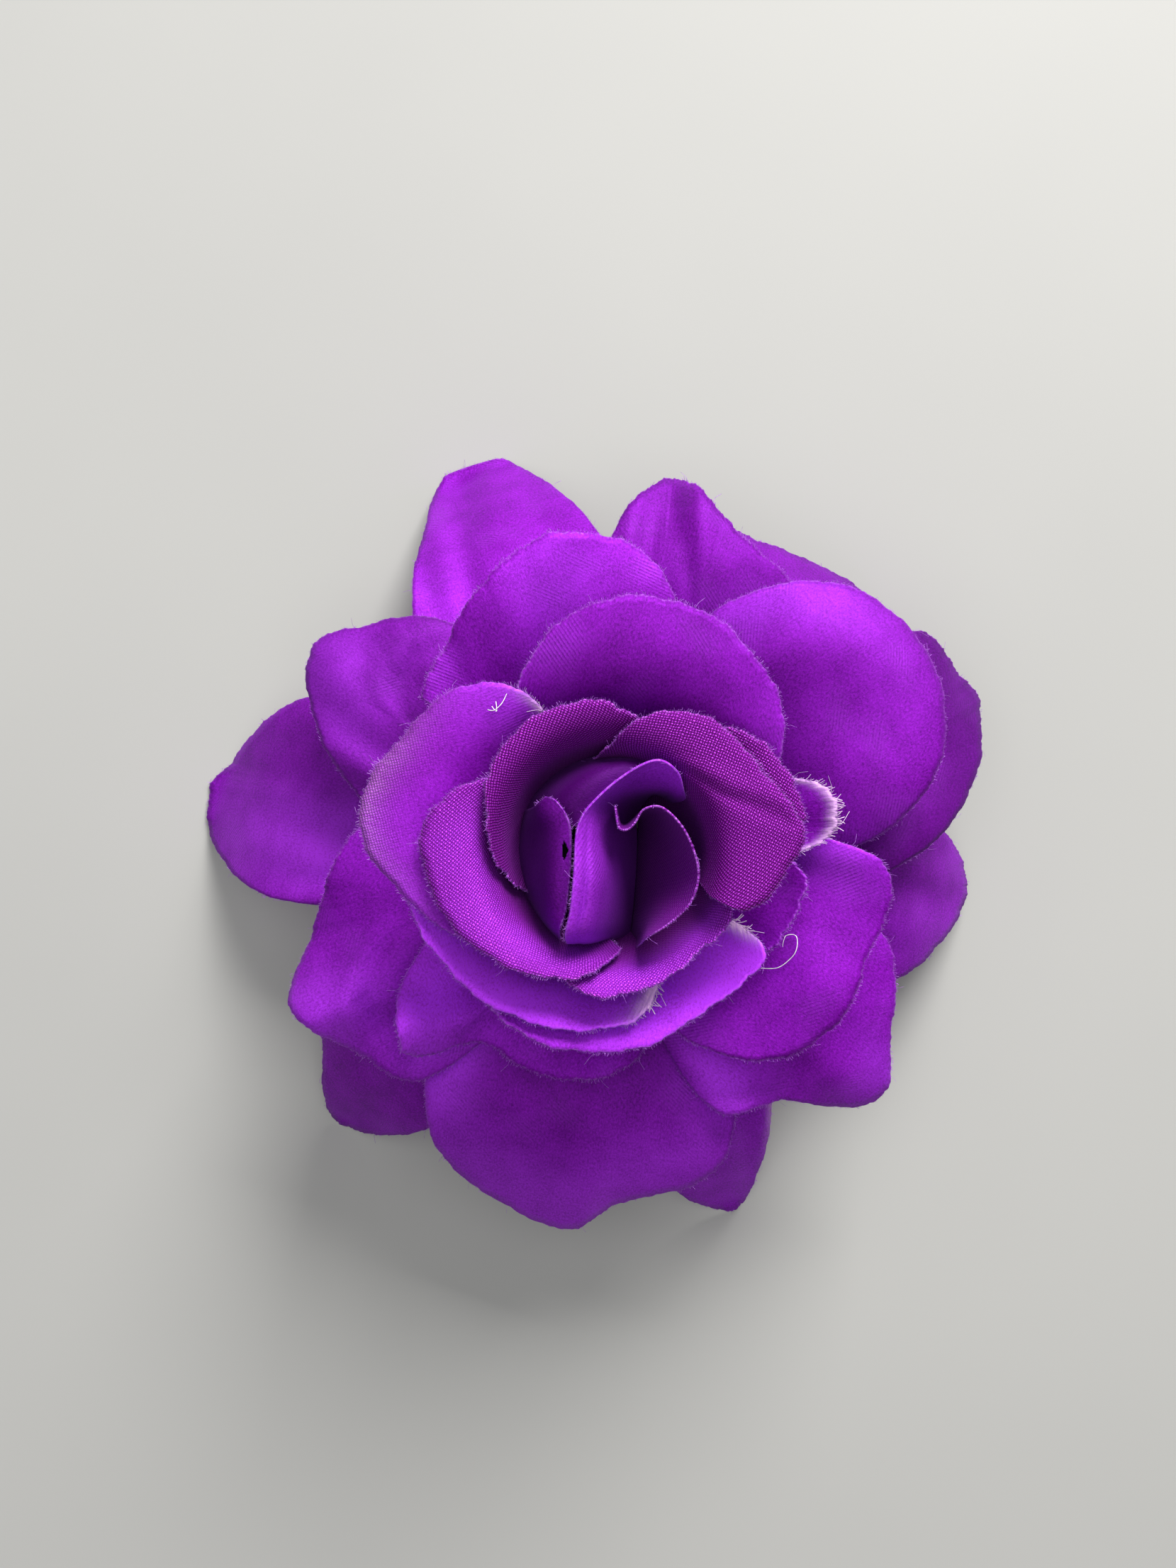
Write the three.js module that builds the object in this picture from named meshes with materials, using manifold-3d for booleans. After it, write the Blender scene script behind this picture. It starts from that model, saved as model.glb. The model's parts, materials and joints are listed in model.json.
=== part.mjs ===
// Fabric rose on a double-prong spring clip. Millimetres, +Z up, the clip's lever end on the
// table at z = 0. Everything is drawn about the rose's own upright axis and moved at the end
// so that the middle of the whole piece stands over the origin.
import * as THREE from 'three';
import { mergeVertices } from 'three/addons/utils/BufferGeometryUtils.js';
import Module from 'manifold-3d';

// ---- driving sizes ---------------------------------------------------------------------------
const ROSE_SPREAD = 1.0;        // how wide the petals reach, against a 113 mm rose
const ROSE_RISE = 1.0;          // how high the petals stand above the base cup
const CLOTH = 0.35;             // thickness of a petal
const FIT_GAP = 0.3;            // clearance between pieces that touch or are glued

const BAR_LENGTH = 50;
const BAR_WIDTH = 9;
const BAR_CORNER = 2;
const STRIP = 0.8;              // sheet steel of both halves of the clip
const BAR_UNDERSIDE = 10.8;     // height of the bar's gripping side above the table

const PIVOT_X = -7;
const PIN_RADIUS = 0.7;
const PIN_HEAD_RADIUS = 1.3;
const PIN_HEAD = 0.6;
const WIRE = 0.6;               // spring wire thickness
const COIL_RADIUS = 1.5;        // to the middle of the wire
const COIL_TURNS = 3.5;
const COIL_PITCH = 0.92;
const COIL_LEG = 7;
const HEEL = 5;                 // level part of the prong under the pivot
const LEVER_LENGTH = 13;        // along X, behind the heel
const SLOT_WIDTH = 2.2;         // between the two fingers of the prong
const TOOTH = 0.9;              // pitch of the teeth near the tip
const TOOTH_COUNT = 6;

const FELT_RADIUS = 22;
const FELT = 1.2;
const GLUE_RADIUS = 11;
const GLUE = 0.8;
const CUP_FOOT_RADIUS = 12;
const CUP_RIM_RADIUS = 15;
const CUP = 2.5;
const HUB_RADIUS = 5.6;
const HUB_HEIGHT = 16.6;
const CORE_RADIUS = 4.6;
const CORE_HEIGHT = 5.4;

const ROSE_X = 2.85;            // the rose's axis, measured from the middle of the piece
const ROSE_Y = -0.3;

// ---- sizes that follow -----------------------------------------------------------------------
const BAR_TOP = BAR_UNDERSIDE + STRIP;
const FELT_Z = BAR_TOP + FIT_GAP;
const GLUE_Z = FELT_Z + FELT + FIT_GAP;
const CUP_Z = GLUE_Z + GLUE + FIT_GAP;
const HUB_Z = CUP_Z + CUP + FIT_GAP;
const CORE_Z = HUB_Z + HUB_HEIGHT + FIT_GAP;
const ROOT_RADIUS = HUB_RADIUS + FIT_GAP;

const COIL_OUTSIDE = COIL_RADIUS + WIRE / 2;
const PIVOT_Z = BAR_UNDERSIDE - FIT_GAP - COIL_OUTSIDE;
const HEEL_TOP = PIVOT_Z - COIL_OUTSIDE - FIT_GAP;
const KNEE_X = PIVOT_X - HEEL / 2;
const JAW_X = PIVOT_X + HEEL / 2;
const TIP_X = BAR_LENGTH / 2 - 1;
const LEVER_X = KNEE_X - LEVER_LENGTH;
const HOLE_RADIUS = PIN_RADIUS + FIT_GAP;
const LUG_RADIUS = HOLE_RADIUS + STRIP;
const BAR_EAR_Y = BAR_WIDTH / 2 - STRIP;
const PRONG_HALF = BAR_EAR_Y - FIT_GAP;
const PRONG_EAR_Y = PRONG_HALF - STRIP;

const wasm = await Module();
wasm.setup();
const group = new THREE.Group();
group.name = 'flower_hair_clip';

function add(name, geometry, colour, roughness, metalness = 0) {
  const material = new THREE.MeshStandardMaterial({ color: colour, roughness, metalness });
  const mesh = new THREE.Mesh(geometry.translate(ROSE_X, ROSE_Y, 0), material);
  mesh.name = name;
  group.add(mesh);
}

// A closed three.js solid as a manifold body, and back again after cutting and joining.
function body(geometry) {
  geometry.deleteAttribute('normal');
  geometry.deleteAttribute('uv');
  const merged = mergeVertices(geometry, 1e-4);
  const vertProperties = new Float32Array(merged.attributes.position.array);
  const triVerts = new Uint32Array(merged.index.array);
  return new wasm.Manifold(new wasm.Mesh({ numProp: 3, vertProperties, triVerts }));
}

function solid(manifold) {
  const mesh = manifold.getMesh();
  const geometry = new THREE.BufferGeometry();
  geometry.setAttribute('position', new THREE.BufferAttribute(mesh.vertProperties, 3));
  geometry.setIndex(new THREE.BufferAttribute(mesh.triVerts, 1));
  return geometry.toNonIndexed();
}

// An outline drawn in X and Z, given its thickness along Y from y0 to y1.
function slab(shape, y0, y1) {
  const geometry = new THREE.ExtrudeGeometry(shape, {
    depth: y1 - y0, bevelEnabled: false, curveSegments: 8,
  });
  return geometry.rotateX(Math.PI / 2).translate(0, y1, 0);
}

// ---- spring clip -----------------------------------------------------------------------------
// An ear hangs from (or stands on) a strip at footZ and carries the pin hole.
function ear(footZ, footHalf, y0, y1) {
  const shape = new THREE.Shape();
  const up = Math.sign(footZ - PIVOT_Z);
  shape.moveTo(PIVOT_X - footHalf, footZ);
  shape.lineTo(PIVOT_X - LUG_RADIUS, PIVOT_Z);
  shape.absarc(PIVOT_X, PIVOT_Z, LUG_RADIUS, Math.PI, 0, up < 0);
  shape.lineTo(PIVOT_X + footHalf, footZ);
  shape.closePath();
  const hole = new THREE.Path();
  hole.absarc(PIVOT_X, PIVOT_Z, HOLE_RADIUS, 0, 2 * Math.PI, false);
  shape.holes.push(hole);
  return body(slab(shape, y0, y1));
}

function roundedPlate(length, width, corner) {
  const x = length / 2;
  const y = width / 2;
  const shape = new THREE.Shape();
  shape.absarc(x - corner, y - corner, corner, 0, Math.PI / 2, false);
  shape.absarc(corner - x, y - corner, corner, Math.PI / 2, Math.PI, false);
  shape.absarc(corner - x, corner - y, corner, Math.PI, 1.5 * Math.PI, false);
  shape.absarc(x - corner, corner - y, corner, 1.5 * Math.PI, 2 * Math.PI, false);
  return shape;
}

const plate = new THREE.ExtrudeGeometry(roundedPlate(BAR_LENGTH, BAR_WIDTH, BAR_CORNER), {
  depth: STRIP, bevelEnabled: false, curveSegments: 4,
});
let bar = body(plate.translate(0, 0, BAR_UNDERSIDE));
for (const y0 of [-BAR_WIDTH / 2, BAR_EAR_Y]) {
  bar = bar.add(ear(BAR_UNDERSIDE + STRIP / 2, LUG_RADIUS + 0.6, y0, y0 + STRIP));
}
add('clip_bar', solid(bar), 0xb9bcc2, 0.3, 1);

// The prong: pressing lever, level heel under the pivot, jaw rising to the toothed tip.
const TIP_TOP = BAR_UNDERSIDE - FIT_GAP;
const JAW_SLOPE = (TIP_TOP - HEEL_TOP) / (TIP_X - JAW_X);
const side = new THREE.Shape();
side.moveTo(LEVER_X, 0);
side.lineTo(KNEE_X, HEEL_TOP - STRIP);
side.lineTo(JAW_X, HEEL_TOP - STRIP);
side.lineTo(TIP_X, TIP_TOP - STRIP);
side.lineTo(TIP_X, TIP_TOP);
for (let i = 1; i <= TOOTH_COUNT; i += 1) {
  const x = TIP_X - i * TOOTH;
  side.lineTo(x + 0.2, TIP_TOP - JAW_SLOPE * i * TOOTH - STRIP / 2);
  side.lineTo(x, TIP_TOP - JAW_SLOPE * i * TOOTH);
}
side.lineTo(JAW_X, HEEL_TOP);
side.lineTo(KNEE_X, HEEL_TOP);
side.lineTo(LEVER_X, STRIP);
side.closePath();
let prong = body(slab(side, -PRONG_HALF, PRONG_HALF));
for (const y0 of [-PRONG_HALF, PRONG_EAR_Y]) {
  prong = prong.add(ear(HEEL_TOP - STRIP / 2, HEEL / 2, y0, y0 + STRIP));
}
const SLOT_START = JAW_X + HEEL;
const slotLength = TIP_X - SLOT_START + 1;
const slot = new THREE.BoxGeometry(slotLength, SLOT_WIDTH, BAR_UNDERSIDE);
slot.translate(SLOT_START + slotLength / 2, 0, BAR_UNDERSIDE / 2);
prong = prong.subtract(body(slot));
add('clip_prong', solid(prong), 0xb4b7bd, 0.32, 1);

// Riveted pin: one turned piece with a head outside each of the bar's ears.
const headY = BAR_WIDTH / 2 + FIT_GAP;
const pinProfile = [
  [0, -headY - PIN_HEAD], [PIN_HEAD_RADIUS * 0.8, -headY - PIN_HEAD],
  [PIN_HEAD_RADIUS, -headY - PIN_HEAD / 2], [PIN_HEAD_RADIUS, -headY], [PIN_RADIUS, -headY],
  [PIN_RADIUS, headY], [PIN_HEAD_RADIUS, headY], [PIN_HEAD_RADIUS, headY + PIN_HEAD / 2],
  [PIN_HEAD_RADIUS * 0.8, headY + PIN_HEAD], [0, headY + PIN_HEAD],
].map(([r, y]) => new THREE.Vector2(r, y));
const pin = new THREE.LatheGeometry(pinProfile, 20);
add('hinge_pin', pin.translate(PIVOT_X, 0, PIVOT_Z), 0xa9acb2, 0.35, 1);

// Torsion spring: lower leg on the lever, coil about the pin, upper leg under the bar.
const leverLine = new THREE.Vector3(-LEVER_LENGTH, 0, STRIP - HEEL_TOP).normalize();
const coilHalf = COIL_PITCH * COIL_TURNS / 2;
const knee = new THREE.Vector3(KNEE_X, -coilHalf, HEEL_TOP + FIT_GAP + WIRE / 2);
const wirePath = [knee.clone().addScaledVector(leverLine, COIL_LEG), knee];
const COIL_STEPS = 42;
for (let i = 0; i <= COIL_STEPS; i += 1) {
  const turn = i / COIL_STEPS;
  const angle = 2 * Math.PI * COIL_TURNS * turn - Math.PI / 2;
  const x = PIVOT_X + COIL_RADIUS * Math.cos(angle);
  const z = PIVOT_Z + COIL_RADIUS * Math.sin(angle);
  wirePath.push(new THREE.Vector3(x, coilHalf * (2 * turn - 1), z));
}
const upper = wirePath[wirePath.length - 1];
wirePath.push(new THREE.Vector3(upper.x - COIL_LEG / 2, upper.y, upper.z));
wirePath.push(new THREE.Vector3(upper.x - COIL_LEG, upper.y, upper.z));
const wireSection = new THREE.Shape();
wireSection.absarc(0, 0, WIRE / 2, 0, 2 * Math.PI, false);
const spring = new THREE.ExtrudeGeometry(wireSection, {
  steps: 84, curveSegments: 4, bevelEnabled: false,
  extrudePath: new THREE.CatmullRomCurve3(wirePath),
});
add('clip_spring', spring, 0xc8cbd0, 0.28, 1);

// ---- backing and middle of the rose ----------------------------------------------------------
function turned(profile, sides) {
  const points = profile.map(([r, z]) => new THREE.Vector2(r, z));
  return new THREE.LatheGeometry(points, sides).rotateX(Math.PI / 2);
}

const felt = [[0, FELT_Z], [FELT_RADIUS, FELT_Z], [FELT_RADIUS, FELT_Z + FELT], [0, FELT_Z + FELT]];
add('felt_disc', turned(felt, 48), 0x4d1478, 0.95);

const glue = [
  [0, GLUE_Z], [GLUE_RADIUS * 0.93, GLUE_Z], [GLUE_RADIUS, GLUE_Z + GLUE / 2],
  [GLUE_RADIUS * 0.93, GLUE_Z + GLUE], [0, GLUE_Z + GLUE],
];
add('glue_pad', turned(glue, 28), 0xe6e2d6, 0.35);

const cup = [
  [0, CUP_Z], [CUP_FOOT_RADIUS, CUP_Z], [CUP_RIM_RADIUS, CUP_Z + CUP * 0.7],
  [CUP_RIM_RADIUS, CUP_Z + CUP], [0, CUP_Z + CUP],
];
add('base_cup', turned(cup, 32), 0x3c6b35, 0.5);

const hub = [
  [0, HUB_Z], [HUB_RADIUS, HUB_Z], [HUB_RADIUS, HUB_Z + HUB_HEIGHT], [0, HUB_Z + HUB_HEIGHT],
];
add('core_hub', turned(hub, 28), 0x3c6b35, 0.5);

const core = [
  [0, CORE_Z], [CORE_RADIUS, CORE_Z], [CORE_RADIUS * 0.85, CORE_Z + CORE_HEIGHT * 0.6],
  [CORE_RADIUS * 0.4, CORE_Z + CORE_HEIGHT], [0, CORE_Z + CORE_HEIGHT],
];
add('bud_core', turned(core, 24), 0xe9e4dc, 0.9);

// ---- petals ----------------------------------------------------------------------------------
// The petals nest like the skins of an onion. Each skin is a curve turned about the rose's
// axis; its knots are [distance from the axis, height above the hub's foot] from root to rim.
// Level 0 is the lowest, drooping skin and level 18 the upright wall of the bud.
const DRAWN_ROOT = 5.9;         // the root radius these tables are drawn for
const DRAWN_HUB_Z = 17.3;       // and the hub's height above the table
function spread(r) {
  return r > DRAWN_ROOT ? ROOT_RADIUS + (r - DRAWN_ROOT) * ROSE_SPREAD
    : r * ROOT_RADIUS / DRAWN_ROOT;
}
const SKINS = [
  [0, [[5.9, 0.2], [17, 1.9], [28, 2.1], [39, -0.3], [49.5, -6.1], [60, -16.3]]],
  [3.5, [[5.9, 3.4], [16, 7.2], [26, 10], [36, 10.8], [46, 8.5], [56, 2.2]]],
  [6.5, [[5.9, 6.1], [14.5, 11.7], [23, 16.5], [32, 19.5], [41, 19.9], [50, 16.7]]],
  [10, [[5.9, 9.2], [12, 16.2], [17, 22.7], [22.5, 27], [29, 28.8], [37, 27.7]]],
  [14, [[5.9, 12.6], [10.8, 18.7], [13.2, 25.2], [15.5, 30.2], [19.5, 32.8], [28, 32.3]]],
  [18, [[5.9, 16.2], [9, 21.2], [10.2, 26.7], [11.8, 31.7], [15.5, 34.8], [25, 34.8]]],
].map(([level, knots]) => {
  const placed = knots.map(([r, z]) => new THREE.Vector2(
    spread(r),
    HUB_Z + (z > 0 ? z * ROSE_RISE : z * HUB_Z / DRAWN_HUB_Z),
  ));
  return { level, curve: new THREE.SplineCurve(placed) };
});

// Point on the skin at a level, v = 0 at the root and 1 at the skin's edge.
function onSkin(level, v) {
  let i = 0;
  while (i < SKINS.length - 2 && level > SKINS[i + 1].level) {
    i += 1;
  }
  const share = (level - SKINS[i].level) / (SKINS[i + 1].level - SKINS[i].level);
  return SKINS[i].curve.getPoint(v).lerp(SKINS[i + 1].curve.getPoint(v), share);
}

function vAtReach(level, reach) {
  let low = 0;
  let high = 1;
  for (let i = 0; i < 24; i += 1) {
    const middle = (low + high) / 2;
    if (onSkin(level, middle).x < reach) {
      low = middle;
    } else {
      high = middle;
    }
  }
  return high;
}

// A sheet of cloth: point(u, v) gives its middle surface, which is thickened both ways.
function sheet(point, across, out) {
  const at = (u, v, lift) => {
    const e = 1e-3;
    const u0 = Math.max(0, u - e);
    const v0 = Math.max(0, v - e);
    const alongU = point(Math.min(1, u + e), v).sub(point(u0, v));
    const alongV = point(u, Math.min(1, v + e)).sub(point(u, v0));
    return point(u, v).addScaledVector(alongV.cross(alongU).normalize(), lift);
  };
  const positions = [];
  for (const lift of [CLOTH / 2, -CLOTH / 2]) {
    for (let i = 0; i <= across; i += 1) {
      for (let j = 0; j <= out; j += 1) {
        positions.push(...at(i / across, j / out, lift).toArray());
      }
    }
  }
  const layer = (across + 1) * (out + 1);
  const top = (i, j) => i * (out + 1) + j;
  const under = (i, j) => layer + top(i, j);
  const index = [];
  const quad = (a, b, c, d) => index.push(a, b, c, a, c, d);
  for (let i = 0; i < across; i += 1) {
    for (let j = 0; j < out; j += 1) {
      quad(top(i, j), top(i, j + 1), top(i + 1, j + 1), top(i + 1, j));
      quad(under(i, j), under(i + 1, j), under(i + 1, j + 1), under(i, j + 1));
    }
    quad(top(i, 0), top(i + 1, 0), under(i + 1, 0), under(i, 0));
    quad(top(i + 1, out), top(i, out), under(i, out), under(i + 1, out));
  }
  for (let j = 0; j < out; j += 1) {
    quad(top(0, j + 1), top(0, j), under(0, j), under(0, j + 1));
    quad(top(across, j), top(across, j + 1), under(across, j + 1), under(across, j));
  }
  const geometry = new THREE.BufferGeometry();
  geometry.setAttribute('position', new THREE.Float32BufferAttribute(positions, 3));
  geometry.setIndex(index);
  return geometry.toNonIndexed();
}

// One petal: its level and its rim as [bearing in degrees, reach from the axis] going round
// anticlockwise. "to" is the level at the far end of the rim, for a petal that starts under one
// neighbour and ends over the next. "droop" is how far its tip hangs below its skin.
const ROOT_SHARE = 0.6;
const ROOT_WIDEST = 70;
function petal({ level, to = level, droop = 0, rim }) {
  const curve = new THREE.SplineCurve(rim.map(([b, r]) => new THREE.Vector2(b, r)));
  const first = rim[0][0];
  const last = rim[rim.length - 1][0];
  const rootSpan = Math.min(ROOT_WIDEST, ROOT_SHARE * (last - first));
  return (u, v) => {
    const edge = curve.getPoint(u);
    const here = level + (to - level) * u;
    const along = v * vAtReach(here, spread(edge.y));
    const place = onSkin(here, along);
    const root = (first + last) / 2 + rootSpan * (u - 0.5);
    const bearing = THREE.MathUtils.degToRad(root + (edge.x - root) * v ** 0.7);
    return new THREE.Vector3(
      place.x * Math.cos(bearing), place.x * Math.sin(bearing), place.y - droop * along ** 3,
    );
  };
}

const TIERS = {
  outer_petal: { colour: 0x8420b8, petals: [
    { level: 1.2, droop: 7.2, rim: [[86, 36], [98, 50], [108, 59.5], [118, 54.5], [126, 44.5],
      [135, 34.5]] },
    { level: 0.2, droop: 2.6, rim: [[150, 42], [158, 50], [168, 55.5], [173, 59], [181, 58],
      [189, 49], [194, 35.5]] },
    { level: 1.2, droop: 8.3, rim: [[208, 43.5], [217, 51], [226, 58], [234, 53], [242, 43]] },
    { level: 0.2, droop: 3.5, rim: [[276, 44.5], [284, 55], [290, 58.5], [295, 53],
      [303, 43.5], [310, 39]] },
    { level: 1.2, droop: 11, rim: [[329, 41], [340, 49], [350, 54], [358, 51.5], [368, 43]] },
    { level: 0.2, droop: 10.8, rim: [[28, 52], [37, 54], [46, 52.5], [61, 49], [69, 48],
      [76, 42]] },
  ] },
  second_petal: { colour: 0x8a22bf, petals: [
    { level: 4.2, rim: [[49, 41.5], [63, 43.5], [71, 45], [77, 49.5], [85, 44.5], [92, 34.5]] },
    { level: 3.2, rim: [[121, 29.5], [126, 36.5], [137, 43], [146, 47.5], [156, 42.5],
      [164, 37], [173, 30]] },
    { level: 4.2, rim: [[170, 30], [184, 35.5], [197, 39.5], [208, 47], [219, 42.5],
      [231, 39.5], [240, 26]] },
    { level: 3.2, rim: [[229, 35], [241, 46.5], [263, 53], [272, 48.5], [290, 45.5],
      [299, 34]] },
    { level: 4.2, rim: [[286, 25.5], [293, 38], [306, 41], [317, 49.5], [327, 44.5],
      [340, 39.5], [345, 33]] },
    { level: 3.2, rim: [[-10, 31.5], [-3, 40], [7, 48.5], [21, 55], [33, 52], [37, 45.5]] },
  ] },
  third_petal: { colour: 0x8f25c6, petals: [
    { level: 6.2, rim: [[-4, 24], [1, 32], [9, 40], [20, 46], [36, 48], [51, 43.5], [65, 33],
      [70, 27.5]] },
    { level: 7.2, rim: [[72, 29.5], [82, 36], [96, 39.5], [107, 39.5], [117, 36], [130, 31],
      [141, 28.5]] },
    { level: 7.2, rim: [[286, 21.5], [303, 30.5], [321, 34.5], [338, 35], [355, 35],
      [363, 28], [367, 21.5]] },
    { level: 6.2, rim: [[206, 24], [217, 33.5], [226, 36.5], [237, 29], [258, 30], [275, 28],
      [283, 24.5]] },
  ] },
  cup_petal: { colour: 0x9629ce, petals: [
    { level: 11.5, rim: [[18, 19.5], [36, 26.5], [50, 29], [70, 31.5], [90, 30.5],
      [108, 26.5], [123, 21.5]] },
    { level: 12.5, rim: [[114, 15], [116, 20.5], [130, 26.5], [152, 28.5], [173, 30],
      [193, 25], [217, 18.5]] },
    { level: 11.3, rim: [[185, 23], [193, 25], [217, 23], [254, 21], [284, 20], [298, 14.5]] },
    { level: 10.2, rim: [[219, 21], [238, 24.5], [270, 24.5], [303, 23], [327, 23],
      [331, 15]] },
    { level: 9.2, rim: [[319, 21.5], [331, 24], [351, 25], [360, 20.5]] },
    { level: 8.2, rim: [[-1, 22.5], [4, 28], [14, 29], [24, 22.5]] },
  ] },
  bud_petal: { colour: 0xa02fda, petals: [
    { level: 18, rim: [[-23, 13], [-22, 17.5], [-3, 21.5], [8, 23], [26, 20.5], [50, 19.8],
      [71, 17.5], [88, 13], [103, 10.5]] },
    { level: 15.3, to: 17.6, rim: [[67, 15], [84, 17], [100, 18.2], [137, 17.5], [163, 15],
      [193, 12.5], [207, 11]] },
    { level: 14.4, to: 16.6, rim: [[141, 14.5], [158, 19.5], [175, 22], [206, 20], [236, 17],
      [257, 15], [278, 12]] },
    { level: 14.1, to: 14.6, rim: [[242, 15], [267, 17], [309, 16], [334, 16.5], [356, 14.5],
      [369, 13]] },
    { level: 13, rim: [[5, 20], [9, 23.5], [26, 23.2], [42, 21.5], [57, 17]] },
  ] },
};
const PETAL_ACROSS = 10;
const PETAL_OUT = 8;
for (const [tier, { colour, petals }] of Object.entries(TIERS)) {
  petals.forEach((drawn, i) => {
    add(`${tier}_${i + 1}`, sheet(petal(drawn), PETAL_ACROSS, PETAL_OUT), colour, 0.75);
  });
}

// ---- heart of the rose -----------------------------------------------------------------------
// Four crumpled petals stand in the bud. Each is swept through matching curves, rim first,
// with points [x, y, height above the hub's foot].
const HEART = [
  // the big curled petal: rim, the pillow below it, its foot in the slit
  [[[8.4, 7.2, 33.9], [8, 9.6, 34.9], [5.8, 10.9, 35.5], [2.7, 9.7, 35.9], [-1.1, 6.7, 36.3],
    [-3.5, 3.4, 36.5], [-4, -2.3, 36.3], [-4.4, -6.4, 35.7], [-5, -9.4, 34.5]],
  [[7.7, 6.6, 31.9], [7, 7.3, 30.5], [5.5, 7.3, 29.3], [2.9, 7, 28.9], [0, 5.5, 30],
    [-1.2, 2.2, 32.5], [-1, -2, 32.7], [-1.4, -5.6, 32.9], [-2.5, -8.9, 32.9]],
  [[7.4, 6, 30.1], [6.6, 5.9, 28.7], [5.8, 5.2, 27.7], [5, 4, 26.9], [4.4, 2.6, 26.3],
    [4, 0.8, 25.9], [3.6, -2, 25.7], [3.2, -5, 26.1], [2.6, -8.2, 27.7]]],
  // the petal on the right of the slit, its top end rolled in an S
  [[[0.8, 5.5, 35], [1.2, 3.1, 35.2], [2.2, 2.8, 35.2], [3.1, 3.6, 35.3], [4.2, 5.2, 35.3],
    [6.4, 5.3, 35.4], [9, 2.5, 35.5], [10.5, -2, 35.3], [9.6, -5.7, 34.9], [7, -8.3, 34.3],
    [4.6, -9.7, 33.5]],
  [[1, 5.2, 31.6], [1.4, 3.4, 31.7], [2.2, 3.1, 31.4], [3.2, 3.9, 30.3], [4.3, 4.9, 29.3],
    [5.6, 4.4, 28.3], [5.9, 2.2, 27.1], [5.2, -1.2, 26.5], [4.6, -4, 26.7],
    [4.2, -6.6, 27.5], [3.9, -8.6, 29.1]]],
  // the petal that falls away on the left
  [[[-7.4, 6.6, 33.2], [-6, 6.1, 34.2], [-4.6, 3.6, 35.3], [-4.6, 0, 35.5],
    [-4.9, -3.5, 35.3], [-5.2, -6.6, 34.7], [-5.8, -8.9, 33.7]],
  [[-8.3, 4.6, 29.7], [-8.6, 3.2, 28.7], [-8.7, 1.2, 27.9], [-8.8, -0.8, 27.7],
    [-8.5, -3, 27.9], [-7.9, -5.2, 28.5], [-7, -7.2, 29.9]]],
  // the back petal between the big curl and the bud wall
  [[[1.6, 10, 34.7], [-0.6, 8.3, 35.3], [-2.6, 6.4, 35.5], [-4, 5, 35.1]],
    [[0.5, 9.3, 29.2], [-2, 8.7, 28.2], [-4, 8, 28.6], [-5.6, 7, 29.2]]],
];
const HEART_ACROSS = [16, 18, 8, 6];
HEART.forEach((curves, i) => {
  const swept = curves.map((points) => new THREE.CatmullRomCurve3(
    points.map(([x, y, z]) => {
      const r = Math.hypot(x, y);
      return new THREE.Vector3(
        x * spread(r) / r, y * spread(r) / r, HUB_Z + z * ROSE_RISE,
      );
    }),
  ));
  const point = (u, v) => {
    const down = new THREE.CatmullRomCurve3(swept.map((curve) => curve.getPoint(u)));
    return down.getPoint(v);
  };
  add(`heart_petal_${i + 1}`, sheet(point, HEART_ACROSS[i], 5), 0xa733e2, 0.75);
});

export default group;
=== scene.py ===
import json
import math
import bpy
import numpy as np
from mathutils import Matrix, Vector

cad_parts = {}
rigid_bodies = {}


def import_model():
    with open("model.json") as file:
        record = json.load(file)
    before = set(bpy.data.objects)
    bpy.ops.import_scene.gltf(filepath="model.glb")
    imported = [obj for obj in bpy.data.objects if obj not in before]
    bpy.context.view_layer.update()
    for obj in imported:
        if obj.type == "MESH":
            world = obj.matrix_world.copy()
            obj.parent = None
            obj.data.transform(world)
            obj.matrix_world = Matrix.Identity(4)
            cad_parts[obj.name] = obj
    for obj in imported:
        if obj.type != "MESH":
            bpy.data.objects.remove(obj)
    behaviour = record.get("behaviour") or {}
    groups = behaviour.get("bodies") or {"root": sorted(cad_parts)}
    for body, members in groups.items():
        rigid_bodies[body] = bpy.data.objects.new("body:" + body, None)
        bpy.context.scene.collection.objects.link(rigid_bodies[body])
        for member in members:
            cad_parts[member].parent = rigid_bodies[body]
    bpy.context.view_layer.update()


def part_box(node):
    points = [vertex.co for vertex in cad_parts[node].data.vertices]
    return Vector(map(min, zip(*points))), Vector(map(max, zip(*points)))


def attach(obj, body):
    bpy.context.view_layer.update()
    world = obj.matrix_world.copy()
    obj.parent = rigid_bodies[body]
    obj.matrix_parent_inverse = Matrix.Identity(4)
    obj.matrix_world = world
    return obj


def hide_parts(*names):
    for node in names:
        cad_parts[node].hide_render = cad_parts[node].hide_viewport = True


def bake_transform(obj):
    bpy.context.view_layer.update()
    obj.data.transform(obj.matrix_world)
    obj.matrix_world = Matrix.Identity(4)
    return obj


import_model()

# ---- spring clip -------------------------------------------------------------------------------
# Hair is gripped between a pressed steel bar and the toothed prong hinged under it. Both are
# nickel-plated strip, and a spring of bright drawn wire wound round the riveted pin shuts them.
MM = 0.001
WIRE = 0.6
COIL_RADIUS = 1.5                       # to the middle of the wire
COIL_TURNS = 3.5
COIL_PITCH = 0.92
COIL_LEG = 7
KNEE = 2.5                              # straight run between the coil and the lower leg
LEVER_FALL = 5.8 / 13                   # slope of the pressing lever that the lower leg lies on


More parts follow.
